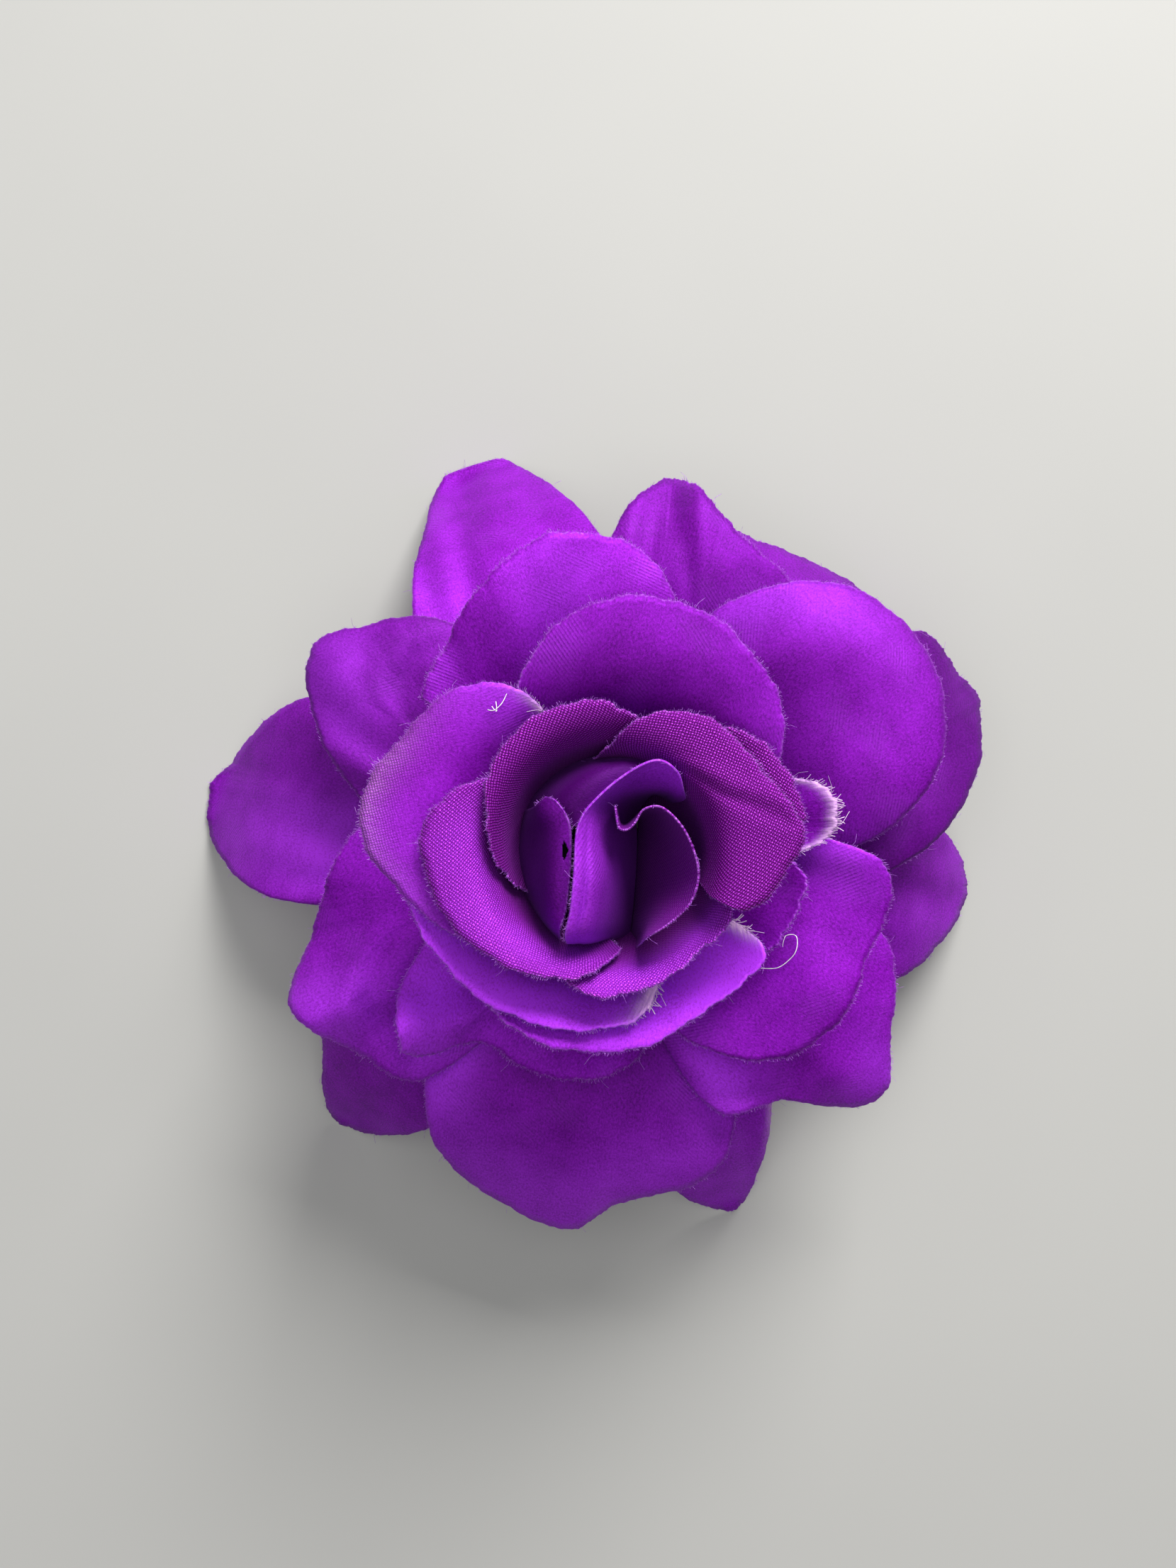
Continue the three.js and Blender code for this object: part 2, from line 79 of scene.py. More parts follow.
class Wiring:
    """A node tree being wired: short ways to add nodes and join sockets."""

    def __init__(self, tree):
        self.tree = tree

    def node(self, kind, values=None, **settings):
        made = self.tree.nodes.new(kind)
        for key, value in settings.items():
            setattr(made, key, value)
        for key, value in (values or {}).items():
            self.put(value, made.inputs[key])
        return made

    def put(self, value, socket):
        if isinstance(value, bpy.types.NodeSocket):
            self.tree.links.new(value, socket)
        elif isinstance(value, bpy.types.Node):
            self.tree.links.new(value.outputs[0], socket)
        else:
            socket.default_value = value

    def math(self, operation, a, b=0.0, clamp=False):
        return self.node("ShaderNodeMath", {0: a, 1: b}, operation=operation,
                         use_clamp=clamp).outputs[0]

    def vector(self, operation, a, b):
        return self.node("ShaderNodeVectorMath", {0: a, 1: b}, operation=operation).outputs[0]

    def mix(self, share, a, b):
        made = self.node("ShaderNodeMix", data_type="RGBA")
        for value, key in ((share, "Factor"), (a, "A"), (b, "B")):
            self.put(value, [s for s in made.inputs if s.name == key and s.enabled][0])
        return [s for s in made.outputs if s.enabled][0]

    def between(self, value, low, high, to_low=0.0, to_high=1.0):
        return self.node("ShaderNodeMapRange", {
            "Value": value, "From Min": low, "From Max": high,
            "To Min": to_low, "To Max": to_high}).outputs[0]

    def noise(self, at, scale, detail=2.0, roughness=0.5):
        return self.node("ShaderNodeTexNoise", {
            "Vector": at, "Scale": scale, "Detail": detail, "Roughness": roughness})


def finish_of(name):
    """A new material, its wiring, its Principled shader and the object's own coordinates."""
    material = bpy.data.materials.new(name)
    material.use_nodes = True
    wiring = Wiring(material.node_tree)
    here = wiring.node("ShaderNodeTexCoord").outputs["Object"]
    return material, wiring, material.node_tree.nodes["Principled BSDF"], here


def relief(f, shader, height, distance, strength=1.0):
    bump = f.node("ShaderNodeBump", {"Height": height, "Distance": distance * MM,
                                     "Strength": strength})
    f.put(bump, shader.inputs["Normal"])


def plated(name, bright, dull, streak):
    """Plated steel: polishing streaks along X, cloudy tarnish and tiny pits."""
    material, f, shader, here = finish_of(name)
    streaks = f.noise(f.vector("MULTIPLY", here, streak), 900, 3)
    tarnish = f.noise(here, 160, 4, 0.6)
    f.put(f.mix(f.between(tarnish.outputs["Fac"], 0.42, 0.70), bright, dull),
          shader.inputs["Base Color"])
    f.put(f.between(streaks.outputs["Fac"], 0.3, 0.7, 0.20, 0.42), shader.inputs["Roughness"])
    relief(f, shader, streaks.outputs["Fac"], 0.01, 0.6)
    shader.inputs["Metallic"].default_value = 1.0
    return material


nickel = plated("nickel_plate", (0.72, 0.70, 0.66, 1), (0.46, 0.43, 0.38, 1), (0.15, 1, 1))
for node in ("clip_bar", "clip_prong", "hinge_pin"):
    steel = bpy.data.objects[node]
    steel.data.materials.clear()
    steel.data.materials.append(nickel)


def mesh_object(name, points, faces, material, smooth=True):
    """A new piece from points in mm."""
    mesh = bpy.data.meshes.new(name)
    mesh.from_pydata((np.asarray(points) * MM).tolist(), [], [list(f) for f in faces])
    mesh.update()
    if smooth:
        mesh.shade_smooth()
    mesh.materials.append(material)
    obj = bpy.data.objects.new(name, mesh)
    bpy.context.collection.objects.link(obj)
    return obj


def tube(path, radius, sides=12):
    """Points and faces of a closed round tube along a path; radius may vary along it."""
    path = np.asarray(path, float)
    radius = np.broadcast_to(radius, len(path))
    ahead = np.gradient(path, axis=0)
    ahead /= np.linalg.norm(ahead, axis=1)[:, None]
    side = np.cross(ahead[0], (0.3, 0.5, 0.8))
    rings = []
    for point, along, r in zip(path, ahead, radius):
        side = side - along * side.dot(along)
        side /= np.linalg.norm(side)
        up = np.cross(along, side)
        turn = np.arange(sides) * 2 * math.pi / sides
        rings.append(point + r * (np.cos(turn)[:, None] * side + np.sin(turn)[:, None] * up))
    faces = [[i * sides + k, i * sides + (k + 1) % sides, (i + 1) * sides + (k + 1) % sides,
              (i + 1) * sides + k] for i in range(len(path) - 1) for k in range(sides)]
    last = (len(path) - 1) * sides
    faces += [list(range(sides))[::-1], list(range(last, last + sides))]
    return np.concatenate(rings), faces


pin_low, pin_high = (np.array(corner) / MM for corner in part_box("hinge_pin"))
pivot = (pin_low + pin_high) / 2
coil_half = COIL_PITCH * COIL_TURNS / 2
knee = pivot + (-KNEE, -coil_half, -COIL_RADIUS)
fall = np.array([-1, 0, -LEVER_FALL]) / math.hypot(1, LEVER_FALL)
turns = np.linspace(0, 1, int(COIL_TURNS * 36) + 1)
angle = 2 * math.pi * COIL_TURNS * turns - math.pi / 2
coil = pivot + np.stack([COIL_RADIUS * np.cos(angle), coil_half * (2 * turns - 1),
                         COIL_RADIUS * np.sin(angle)], 1)
lower_leg = [knee + fall * COIL_LEG * share for share in np.linspace(1, 0.05, 12)]
knee_run = [knee + (KNEE * share, 0, 0) for share in (0.08, 0.3, 0.5, 0.75)]
upper_leg = [coil[-1] - (COIL_LEG * share, 0, 0) for share in np.linspace(0.04, 1, 16)]
drawn_wire = plated("drawn_wire", (0.78, 0.78, 0.78, 1), (0.55, 0.54, 0.52, 1), (1, 0.2, 1))
spring = mesh_object("torsion_spring", *tube([*lower_leg, *knee_run, *coil, *upper_leg],
                                             WIRE / 2), drawn_wire)
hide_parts("clip_spring")
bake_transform(spring)

# ---- felt backing ------------------------------------------------------------------------------
# A disc punched out of violet craft felt covers the middle of the bar, so that steel never lies
# against the petals. Its cut edge is soft, and loose wool stands up all over it.
FELT_RIM = 0.35                         # rounding of the punched edge
FIBRE_SIDES = 3


def turned(outline, sides, waver=0.0, lobes=(5, 9)):
    """Points and faces of a body turned about the rose's axis from [distance, height] pairs
    that start and end on the axis; waver makes its outline uneven."""
    bearing = np.arange(sides) * 2 * math.pi / sides
    swell = 1 + waver * sum(np.sin(n * bearing + n) for n in lobes) / len(lobes)
    rings = [np.stack([r * swell * np.cos(bearing), r * swell * np.sin(bearing),
                       np.full(sides, float(z))], 1) for r, z in outline[1:-1]]
    points = np.concatenate([*rings, [[0, 0, outline[0][1]], [0, 0, outline[-1][1]]]])
    count = len(rings)
    faces = [[i * sides + k, i * sides + (k + 1) % sides, (i + 1) * sides + (k + 1) % sides,
              (i + 1) * sides + k] for i in range(count - 1) for k in range(sides)]
    foot, top, last = count * sides, count * sides + 1, (count - 1) * sides
    for k in range(sides):
        faces.append([foot, (k + 1) % sides, k])
        faces.append([top, last + k, last + (k + 1) % sides])
    return points + rose_axis, faces


felt_low, felt_high = (np.array(corner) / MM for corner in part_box("felt_disc"))
rose_axis = np.append((felt_low + felt_high)[:2] / 2, 0)
felt_radius = (felt_high - felt_low)[0] / 2
corner = [(math.sin(a), 1 - math.cos(a)) for a in np.radians((0, 30, 60, 90))]
outline = [(0, felt_low[2])] + [(r, felt_low[2]) for r in np.linspace(2, felt_radius - 1, 14)]
outline += [(felt_radius + FELT_RIM * (x - 1), felt_low[2] + FELT_RIM * z) for x, z in corner]
outline += [(r, felt_high[2] + felt_low[2] - z) for r, z in outline[::-1]]
felt_wool, f, shader, here = finish_of("felt_wool")
matted = f.noise(here, 2600, 5, 0.75)
clump = f.noise(here, 420, 3)
tone = f.math("ADD", f.math("MULTIPLY", matted.outputs["Fac"], 0.6),
              f.math("MULTIPLY", clump.outputs["Fac"], 0.4))
f.put(f.mix(f.between(tone, 0.36, 0.64), (0.040, 0.004, 0.085, 1), (0.130, 0.026, 0.240, 1)),
      shader.inputs["Base Color"])
relief(f, shader, matted.outputs["Fac"], 0.16)
shader.inputs["Roughness"].default_value = 0.95
shader.inputs["Sheen Weight"].default_value = 0.5
shader.inputs["Sheen Roughness"].default_value = 0.5
shader.inputs["Sheen Tint"].default_value = (0.55, 0.35, 0.75, 1)
felt = mesh_object("felt_backing", *turned(outline, 96, 0.004), felt_wool)


def fibre_tree(name, seats):
    """Geometry nodes that stand short bent fibres on a surface or along an edge. seats adds the
    nodes that place them and gives back their points and the way each one leans."""
    tree = bpy.data.node_groups.new(name, "GeometryNodeTree")
    tree.interface.new_socket("Cloth", in_out="INPUT", socket_type="NodeSocketGeometry")
    for label, kind, value in (("Spacing", "NodeSocketFloat", 0.3), ("Seed", "NodeSocketInt", 1),
                               ("Length", "NodeSocketFloat", 0.4),
                               ("Thickness", "NodeSocketFloat", 0.04),
                               ("Splay", "NodeSocketFloat", 0.5),
                               ("Bend", "NodeSocketFloat", 0.3),
                               ("Finish", "NodeSocketMaterial", None)):
        socket = tree.interface.new_socket(label, in_out="INPUT", socket_type=kind)
        if value is not None:
            socket.default_value = value
    tree.interface.new_socket("Fibres", in_out="OUTPUT", socket_type="NodeSocketGeometry")
    g = Wiring(tree)
    given = g.node("NodeGroupInput").outputs
    points, lean, stretch = seats(g, given)

    def random(low, high, salt, kind="FLOAT"):
        keys = (0, 1) if kind == "FLOAT_VECTOR" else (2, 3)
        seed = g.math("ADD", given["Seed"], salt)
        made = g.node("FunctionNodeRandomValue", {keys[0]: low, keys[1]: high, 8: seed},
                      data_type=kind)
        return made.outputs[0 if kind == "FLOAT_VECTOR" else 1]

    line = g.node("GeometryNodeCurvePrimitiveLine", {"Start": (0, 0, 0), "End": (0, 0, 1)})
    line = g.node("GeometryNodeResampleCurve", {"Curve": line, "Count": 3})
    up = g.node("ShaderNodeSeparateXYZ", {0: g.node("GeometryNodeInputPosition")}).outputs["Z"]
    sideways = g.math("MULTIPLY", g.math("MULTIPLY", up, up), given["Bend"])
    bowed = g.node("GeometryNodeSetPosition", {
        "Geometry": line, "Offset": g.node("ShaderNodeCombineXYZ", {0: sideways})})
    round_ = g.node("GeometryNodeCurvePrimitiveCircle", {"Resolution": FIBRE_SIDES, "Radius": 0.5})
    thin = g.node("GeometryNodeTransform", {"Geometry": round_})
    fibre = g.node("GeometryNodeCurveToMesh", {"Curve": bowed, "Profile Curve": thin})
    # The fibre is one unit long and one thick; the two scales below give it its size.
    away = g.vector("ADD", lean, g.vector(
        "MULTIPLY", random((-1, -1, -1), (1, 1, 1), 3, "FLOAT_VECTOR"),
        g.node("ShaderNodeCombineXYZ", {0: given["Splay"], 1: given["Splay"],
                                        2: given["Splay"]}).outputs[0]))
    spin = g.node("FunctionNodeEulerToRotation", {0: g.node(
        "ShaderNodeCombineXYZ", {2: random(0.0, 6.28, 5)})})
    turn = g.node("FunctionNodeAlignRotationToVector", {"Rotation": spin, "Vector": away},
                  axis="Z")
    tall = g.math("MULTIPLY", g.math("MULTIPLY", given["Length"], random(0.35, 1.0, 7)), stretch)
    size = g.node("ShaderNodeCombineXYZ", {0: tall, 1: tall, 2: tall})
    stood = g.node("GeometryNodeInstanceOnPoints", {
        "Points": points, "Instance": fibre, "Rotation": turn, "Scale": size})
    whole = g.node("GeometryNodeRealizeInstances", {"Geometry": stood})
    painted = g.node("GeometryNodeSetMaterial", {"Geometry": whole, "Material": given["Finish"]})
    slim = g.math("DIVIDE", given["Thickness"], given["Length"])
    g.put(g.node("ShaderNodeCombineXYZ", {0: slim, 1: slim, 2: slim}), thin.inputs["Scale"])
    g.put(painted, g.node("NodeGroupOutput").inputs["Fibres"])
    return tree


def grown(name, cloth, tree, **sizes):
    """The fibres that a tree stands on a cloth, as a plain mesh of their own."""
    modifier = cloth.modifiers.new("fibres", "NODES")
    modifier.node_group = tree
    for item in tree.interface.items_tree:
        if item.in_out == "INPUT" and item.name in sizes:
            modifier[item.identifier] = sizes[item.name]
    cloth.update_tag()
    ready = cloth.evaluated_get(bpy.context.evaluated_depsgraph_get())
    mesh = bpy.data.meshes.new_from_object(ready)
    cloth.modifiers.remove(modifier)
    mesh.name = name
    obj = bpy.data.objects.new(name, mesh)
    bpy.context.collection.objects.link(obj)
    return obj


def all_over(g, given):
    """Fibres scattered over a surface, leaning out of it."""
    share = g.math("DIVIDE", 1.0, g.math("MULTIPLY", given["Spacing"], given["Spacing"]))
    spots = g.node("GeometryNodeDistributePointsOnFaces", {
        "Mesh": given["Cloth"], "Density": share, "Seed": given["Seed"]})
    return spots.outputs["Points"], spots.outputs["Normal"], 1.0


wool = grown("felt_fuzz", felt, fibre_tree("standing_wool", all_over), Spacing=0.62 * MM, Seed=4,
             Length=0.7 * MM, Thickness=0.03 * MM, Splay=1.2, Bend=0.6, Finish=felt_wool)
for piece in (felt, wool):
    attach(piece, "flower_and_bar")
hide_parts("felt_disc")

# ---- glue pad ----------------------------------------------------------------------------------
# A pat of hot-melt glue, pressed flat while it was soft, holds the rose's cup to the felt. It set
# milky, with a lumpy outline where it was squeezed out.
low, high = (np.array(corner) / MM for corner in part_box("glue_pad"))
across = (high - low)[0] / 2
outline = [(0, low[2])] + [(across * r, low[2]) for r in (0.3, 0.6, 0.88)]
outline += [(across * r, low[2] + (high - low)[2] * h)
            for r, h in ((0.95, 0.12), (0.97, 0.5), (0.94, 0.88))]
outline += [(across * r, high[2]) for r in (0.88, 0.6, 0.3)] + [(0, high[2])]
set_glue, f, shader, here = finish_of("set_glue")
milk = f.noise(here, 300, 4)
f.put(f.mix(milk.outputs["Fac"], (0.72, 0.66, 0.52, 1), (0.86, 0.84, 0.76, 1)),
      shader.inputs["Base Color"])
relief(f, shader, f.noise(here, 500, 2).outputs["Fac"], 0.12)
f.put(f.between(milk.outputs["Fac"], 0.3, 0.7, 0.22, 0.4), shader.inputs["Roughness"])
shader.inputs["Subsurface Weight"].default_value = 0.3
shader.inputs["Subsurface Radius"].default_value = (0.001, 0.0008, 0.0006)
glue = mesh_object("glue_pat", *turned(outline, 72, 0.03, (3, 7, 11)), set_glue)
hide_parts("glue_pad")
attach(glue, "flower_and_bar")

# ---- cup, hub and core -------------------------------------------------------------------------
# The rose is built on a moulded green cup with a post standing in it. The petals are glued round
# the post, and a foam egg pushed on its end fills out the bud.
calyx_green, f, shader, here = finish_of("calyx_green")
cloud = f.noise(here, 240, 3)
f.put(f.mix(cloud.outputs["Fac"], (0.030, 0.085, 0.026, 1), (0.065, 0.150, 0.050, 1)),
      shader.inputs["Base Color"])
grain = f.noise(here, 5200, 2)
relief(f, shader, grain.outputs["Fac"], 0.02)
f.put(f.between(cloud.outputs["Fac"], 0.3, 0.7, 0.38, 0.55), shader.inputs["Roughness"])
for node in ("base_cup", "core_hub"):
    moulding = bpy.data.objects[node]
    moulding.data.materials.clear()
    moulding.data.materials.append(calyx_green)

low, high = (np.array(corner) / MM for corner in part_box("bud_core"))
radius, rise = (high - low)[0] / 2, (high - low)[2]
outline = [(0, low[2]), (radius * 0.8, low[2])]
outline += [(radius * math.cos(a), low[2] + rise * (0.15 + 0.85 * math.sin(a)))
            for a in np.radians((0, 15, 30, 45, 60, 72, 82))] + [(0, high[2])]
dyed_foam, f, shader, here = finish_of("dyed_foam")
cells = f.node("ShaderNodeTexVoronoi", {"Vector": here, "Scale": 1500.0})
f.put(f.mix(f.between(cells.outputs["Distance"], 0.0, 0.6), (0.045, 0.003, 0.085, 1),
            (0.012, 0.001, 0.022, 1)), shader.inputs["Base Color"])
relief(f, shader, cells.outputs["Distance"], 0.1)
shader.inputs["Roughness"].default_value = 0.9
core = mesh_object("foam_core", *turned(outline, 40, 0.02), dyed_foam)
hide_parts("bud_core")
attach(core, "flower_and_bar")

# ---- petals ------------------------------------------------------------------------------------
# Each petal is stamped from stiffened polyester cloth, plain-woven on one face and brushed to a
# suede on the other, pressed over a hot ball, and glued by its root to the post. The stamp leaves
# the cut edges soft and a little frayed.
HUB_FOOT = 17.3
ROOT = 5.9
CLOTH = 0.26                            # thickness of the cloth
RESTING = 0.35                          # lowest that a petal's middle comes to the table
BEND_AT = 0.35                          # where a curl starts, as a share of the petal's length
ROOT_SPREAD = 70                        # most degrees that a petal's root takes of the post
ACROSS, OUT = 150, 44                   # cells of a petal's grid
# The petals nest like the skins of an onion: [distance from the axis, height above the cup].
SKINS = [
    (0, [(5.9, 0.2), (17, 1.9), (28, 2.1), (39, -0.3), (49.5, -6.1), (60, -16.3)]),
    (3.5, [(5.9, 3.4), (16, 7.2), (26, 10), (36, 10.8), (46, 8.5), (56, 2.2)]),
    (6.5, [(5.9, 6.1), (14.5, 11.7), (23, 16.5), (32, 19.5), (41, 19.9), (50, 16.7)]),
    (10, [(5.9, 9.2), (12, 16.2), (17, 22.7), (22.5, 27), (29, 28.8), (37, 27.7)]),
    (14, [(5.9, 12.6), (10.8, 18.7), (12.9, 24.8), (15.0, 30.4), (19.0, 33.0), (28, 32.3)]),
    (18, [(5.9, 16.2), (9.2, 20.4), (10.9, 25.8), (12.2, 31.2), (15.3, 34.7), (25, 34.6)]),
]
LEVELS = np.array([level for level, _ in SKINS], float)


def through(points, t):
    """Smooth curve through points, at shares t of its length."""
    points = np.asarray(points, float)
    last = len(points) - 1
    place = np.clip(t, 0, 1) * last
    i = np.minimum(place.astype(int), last - 1)
    w = (place - i)[..., None]
    a, b = points[np.maximum(i - 1, 0)], points[i]
    c, d = points[i + 1], points[np.minimum(i + 2, last)]
    return 0.5 * (2 * b + (c - a) * w + (2 * a - 5 * b + 4 * c - d) * w ** 2
                  + (3 * b - a - 3 * c + d) * w ** 3)


def on_skin(level, v):
    """(distance from the axis, height above the cup) on the nested skins."""
    shapes = np.stack([through(knots, v) for _, knots in SKINS])
    i = np.clip(np.searchsorted(LEVELS, level) - 1, 0, len(LEVELS) - 2)
    share = ((level - LEVELS[i]) / (LEVELS[i + 1] - LEVELS[i]))[..., None]
    low = np.take_along_axis(shapes, i[None, ..., None], 0)[0]
    high = np.take_along_axis(shapes, (i + 1)[None, ..., None], 0)[0]
    return low + (high - low) * share


def v_at(level, reach):
    low, high = np.zeros_like(reach), np.ones_like(reach)
    for _ in range(24):
        middle = (low + high) / 2
        short = on_skin(level, middle)[..., 0] < reach
        low, high = np.where(short, middle, low), np.where(short, high, middle)
    return high


def bell(x, centre, width):
    return np.exp(-((x - centre) / width) ** 2)


def patches(u, v, spots):
    """Soft patches on a petal, each (across, out, width, height, strength)."""
    return sum((strength * bell(u, at, wide) * bell(v, out, tall)
                for at, out, wide, tall, strength in spots), np.zeros_like(u))


def pressed(level, rim, to=None, droop=0.0, curls=(), lip=0.0, dent=0.3, pale=(), bright=(),
            bare=(), dull=0.0, creases=(), seed=0):
    """A petal's middle surface in mm and the flat cloth it was cut from, with maps of how pale
    its dye is, of the painted shade that darkens it towards its root and where dull is given, and
    of the painted highlights of its bright patches. A curl is (across, width, levels that it lifts
    the rim) and a crease (across, out, across, out, width, depth in mm); pale, bright and bare,
    where the weave shows, are patches."""
    u, v = np.meshgrid(np.linspace(0, 1, ACROSS + 1), np.linspace(0, 1, OUT + 1), indexing="ij")
    rng = np.random.default_rng(seed)
    edge = through(rim, u)
    wander = sum(a * np.sin(2 * np.pi * (n * u + rng.random()))
                 for n, a in ((6, 0.12), (11, 0.08), (19, 0.07), (43, 0.06), (61, 0.04)))
    reach = edge[..., 1] + wander * np.clip(np.minimum(u, 1 - u) * 12, 0, 1)
    here = level + ((level if to is None else to) - level) * u
    along = v * v_at(here, np.minimum(reach, on_skin(here, np.ones_like(u))[..., 0] - 0.05))
    lift = np.clip((v - BEND_AT) / (1 - BEND_AT), 0, 1) ** 2
    for where, wide, levels in curls:
        here = here + levels * lift * bell(u, where, wide)
    here = here + lip * (1 + 0.5 * np.sin(2 * np.pi * (2.3 * u + rng.random()))) * v ** 9
    place = on_skin(here, along)
    middle = (rim[0][0] + rim[-1][0]) / 2
    root = middle + min(ROOT_SPREAD, 0.6 * (rim[-1][0] - rim[0][0])) * (u - 0.5)
    bearing = root + (edge[..., 0] - root) * v ** 0.7
    turn = np.radians(bearing)
    height = HUB_FOOT + place[..., 1] - droop * along ** 3
    height += sum(np.cos(2 * np.pi * (m * u + rng.random()) + 3 * n * v)
                  * np.cos(np.pi * (n * v + rng.random()))
                  for m, n in ((1.3, 0.8), (2.2, 1.6), (3.4, 2.1))) * dent * lift ** 0.5
    for u0, v0, u1, v1, wide, depth in creases:
        run = np.clip((u - u0) / (u1 - u0), 0, 1)
        off = v - (v0 + (v1 - v0) * run)
        height -= depth * (bell(off, 0, wide) - 0.8 * bell(off, 1.8 * wide, wide)) \
            * np.sin(np.pi * run) ** 0.5
    clear = height - RESTING                 # a tip that would hang lower bends up off the table
    height = RESTING + (clear + np.sqrt(clear ** 2 + 1)) / 2
    points = np.stack([place[..., 0] * np.cos(turn), place[..., 0] * np.sin(turn), height], -1)
    step = np.linalg.norm(np.diff(points, axis=1), axis=2)
    run = ROOT + np.concatenate([np.zeros((ACROSS + 1, 1)), np.cumsum(step, 1)], 1)
    fan = place[..., 0] / run * np.radians(bearing - middle)
    flat = np.stack([run * np.sin(fan), run * np.cos(fan)], -1)
    # Two maps are painted light: one lightens the petal with painted highlights where the bright
    # patches lie, one darkens it with painted shade towards its root and by dull.
    maps = {"pale": patches(u, v, pale), "nap": patches(u, v, bright),
            "weave": patches(u, v, bare),
            "painted_shade": np.clip(np.maximum(1.3 - 1.9 * v, 0) + dull, 0, 1.4)}
    return points, flat, maps


def cut_sheet(name, middle, flat, material, maps, hole=None):
    """Closed sheet round a middle surface, with its flat cloth in mm as the UV map, the given
    maps and its distance from the cut edge as attributes, and a hole where hole is true."""
    across, out = middle.shape[0] - 1, middle.shape[1] - 1
    normal = np.cross(np.gradient(middle, axis=1), np.gradient(middle, axis=0))
    normal /= np.maximum(np.linalg.norm(normal, axis=2), 1e-9)[..., None]
    n = (across + 1) * (out + 1)
    points = np.concatenate([(middle + side * normal * CLOTH / 2).reshape(-1, 3)
                             for side in (1, -1)])
    ids = np.arange(n).reshape(across + 1, out + 1)
    cells = np.stack([ids[:-1, :-1], ids[:-1, 1:], ids[1:, 1:], ids[1:, :-1]], -1)
    cells = cells[np.ones((across, out), bool) if hole is None else ~hole]
    ways = np.concatenate([np.stack([cells[:, k], cells[:, (k + 1) % 4]], 1) for k in range(4)])
    there = set(map(tuple, ways.tolist()))
    walls = [(a, b, b + n, a + n) for a, b in ways.tolist() if (b, a) not in there]
    faces = [*(cells[:, ::-1]).tolist(), *(cells + n).tolist(), *walls]
    used = np.zeros(2 * n, bool)
    used[np.concatenate([cells.ravel(), cells.ravel() + n])] = True
    fresh = np.cumsum(used) - 1
    faces = [[int(fresh[i]) for i in face] for face in faces]
    obj = mesh_object(name, (points + rose_axis)[used], faces, material)
    to_rim = np.linalg.norm(np.diff(middle, axis=1), axis=2)
    to_rim = np.concatenate([np.cumsum(to_rim[:, ::-1], 1)[:, ::-1], np.zeros((across + 1, 1))], 1)
    aside = np.linalg.norm(np.diff(middle, axis=0), axis=2)
    aside = np.concatenate([np.zeros((1, out + 1)), np.cumsum(aside, 0)])
    maps = {**maps, "cut": np.minimum(to_rim, np.minimum(aside, aside[-1] - aside))}
    for key, values in maps.items():
        spread = np.tile(np.broadcast_to(values, middle.shape[:2]).ravel(), 2)[used]
        obj.data.attributes.new(key, "FLOAT", "POINT").data.foreach_set(
            "value", spread.astype(np.float32))
    uv = obj.data.uv_layers.new(name="cloth")
    corner = np.zeros(len(obj.data.loops), int)
    obj.data.loops.foreach_get("vertex_index", corner)
    flat_points = np.tile(flat.reshape(-1, 2), (2, 1))[used]
    uv.data.foreach_set("uv", flat_points[corner].astype(np.float32).ravel())
    return obj


def group(name, inputs, outputs):
    """A shader node group with named sockets: its wiring, what it is given and what it gives."""
    tree = bpy.data.node_groups.new(name, "ShaderNodeTree")
    for label, kind, value in inputs:
        socket = tree.interface.new_socket(label, in_out="INPUT", socket_type=kind)
        if value is not None:
            socket.default_value = value
    for label in outputs:
        tree.interface.new_socket(label, in_out="OUTPUT", socket_type="NodeSocketFloat")
    g = Wiring(tree)
    return g, g.node("NodeGroupInput").outputs, g.node("NodeGroupOutput").inputs


# Plain weave: over and under threads on the flat cloth, pitch in mm; Glint picks out the thread tops
# for a painted highlight.
g, given, gives = group("plain_weave", [
    ("Cloth", "NodeSocketVector", None), ("Pitch", "NodeSocketFloat", 0.32),
    ("Slant", "NodeSocketFloat", 0.5)], ["Height", "Glint"])
turned_cloth = g.node("ShaderNodeVectorRotate", {"Vector": given["Cloth"],
                      "Angle": given["Slant"]}, rotation_type="Z_AXIS")
slub = g.noise(turned_cloth, 0.9)
wobble = g.vector("MULTIPLY", slub.outputs["Color"], (0.34, 0.34, 0))
threads = g.node("ShaderNodeSeparateXYZ", {0: g.vector("ADD", turned_cloth, wobble)})
warp = g.math("DIVIDE", threads.outputs["X"], given["Pitch"])
weft = g.math("DIVIDE", threads.outputs["Y"], given["Pitch"])
over = g.math("ABSOLUTE", g.math("MODULO", g.math("ADD", g.math("FLOOR", warp),
                                                  g.math("FLOOR", weft)), 2.0))
warp_arch = g.math("ABSOLUTE", g.math("SINE", g.math("MULTIPLY", warp, math.pi)))
weft_arch = g.math("ABSOLUTE", g.math("SINE", g.math("MULTIPLY", weft, math.pi)))
warp_bow = g.math("MULTIPLY", g.math("POWER", warp_arch, 0.6), g.math("POWER", weft_arch, 1.4))
weft_bow = g.math("MULTIPLY", g.math("POWER", weft_arch, 0.6), g.math("POWER", warp_arch, 1.4))
top = g.math("ADD", g.math("MULTIPLY", warp_bow, over),
             g.math("MULTIPLY", weft_bow, g.math("SUBTRACT", 1.0, over)))
g.put(top, gives["Height"])
g.put(g.math("MULTIPLY", g.math("POWER", top, 3.0), g.between(over, 0, 1, 0.3, 1.0)),
      gives["Glint"])

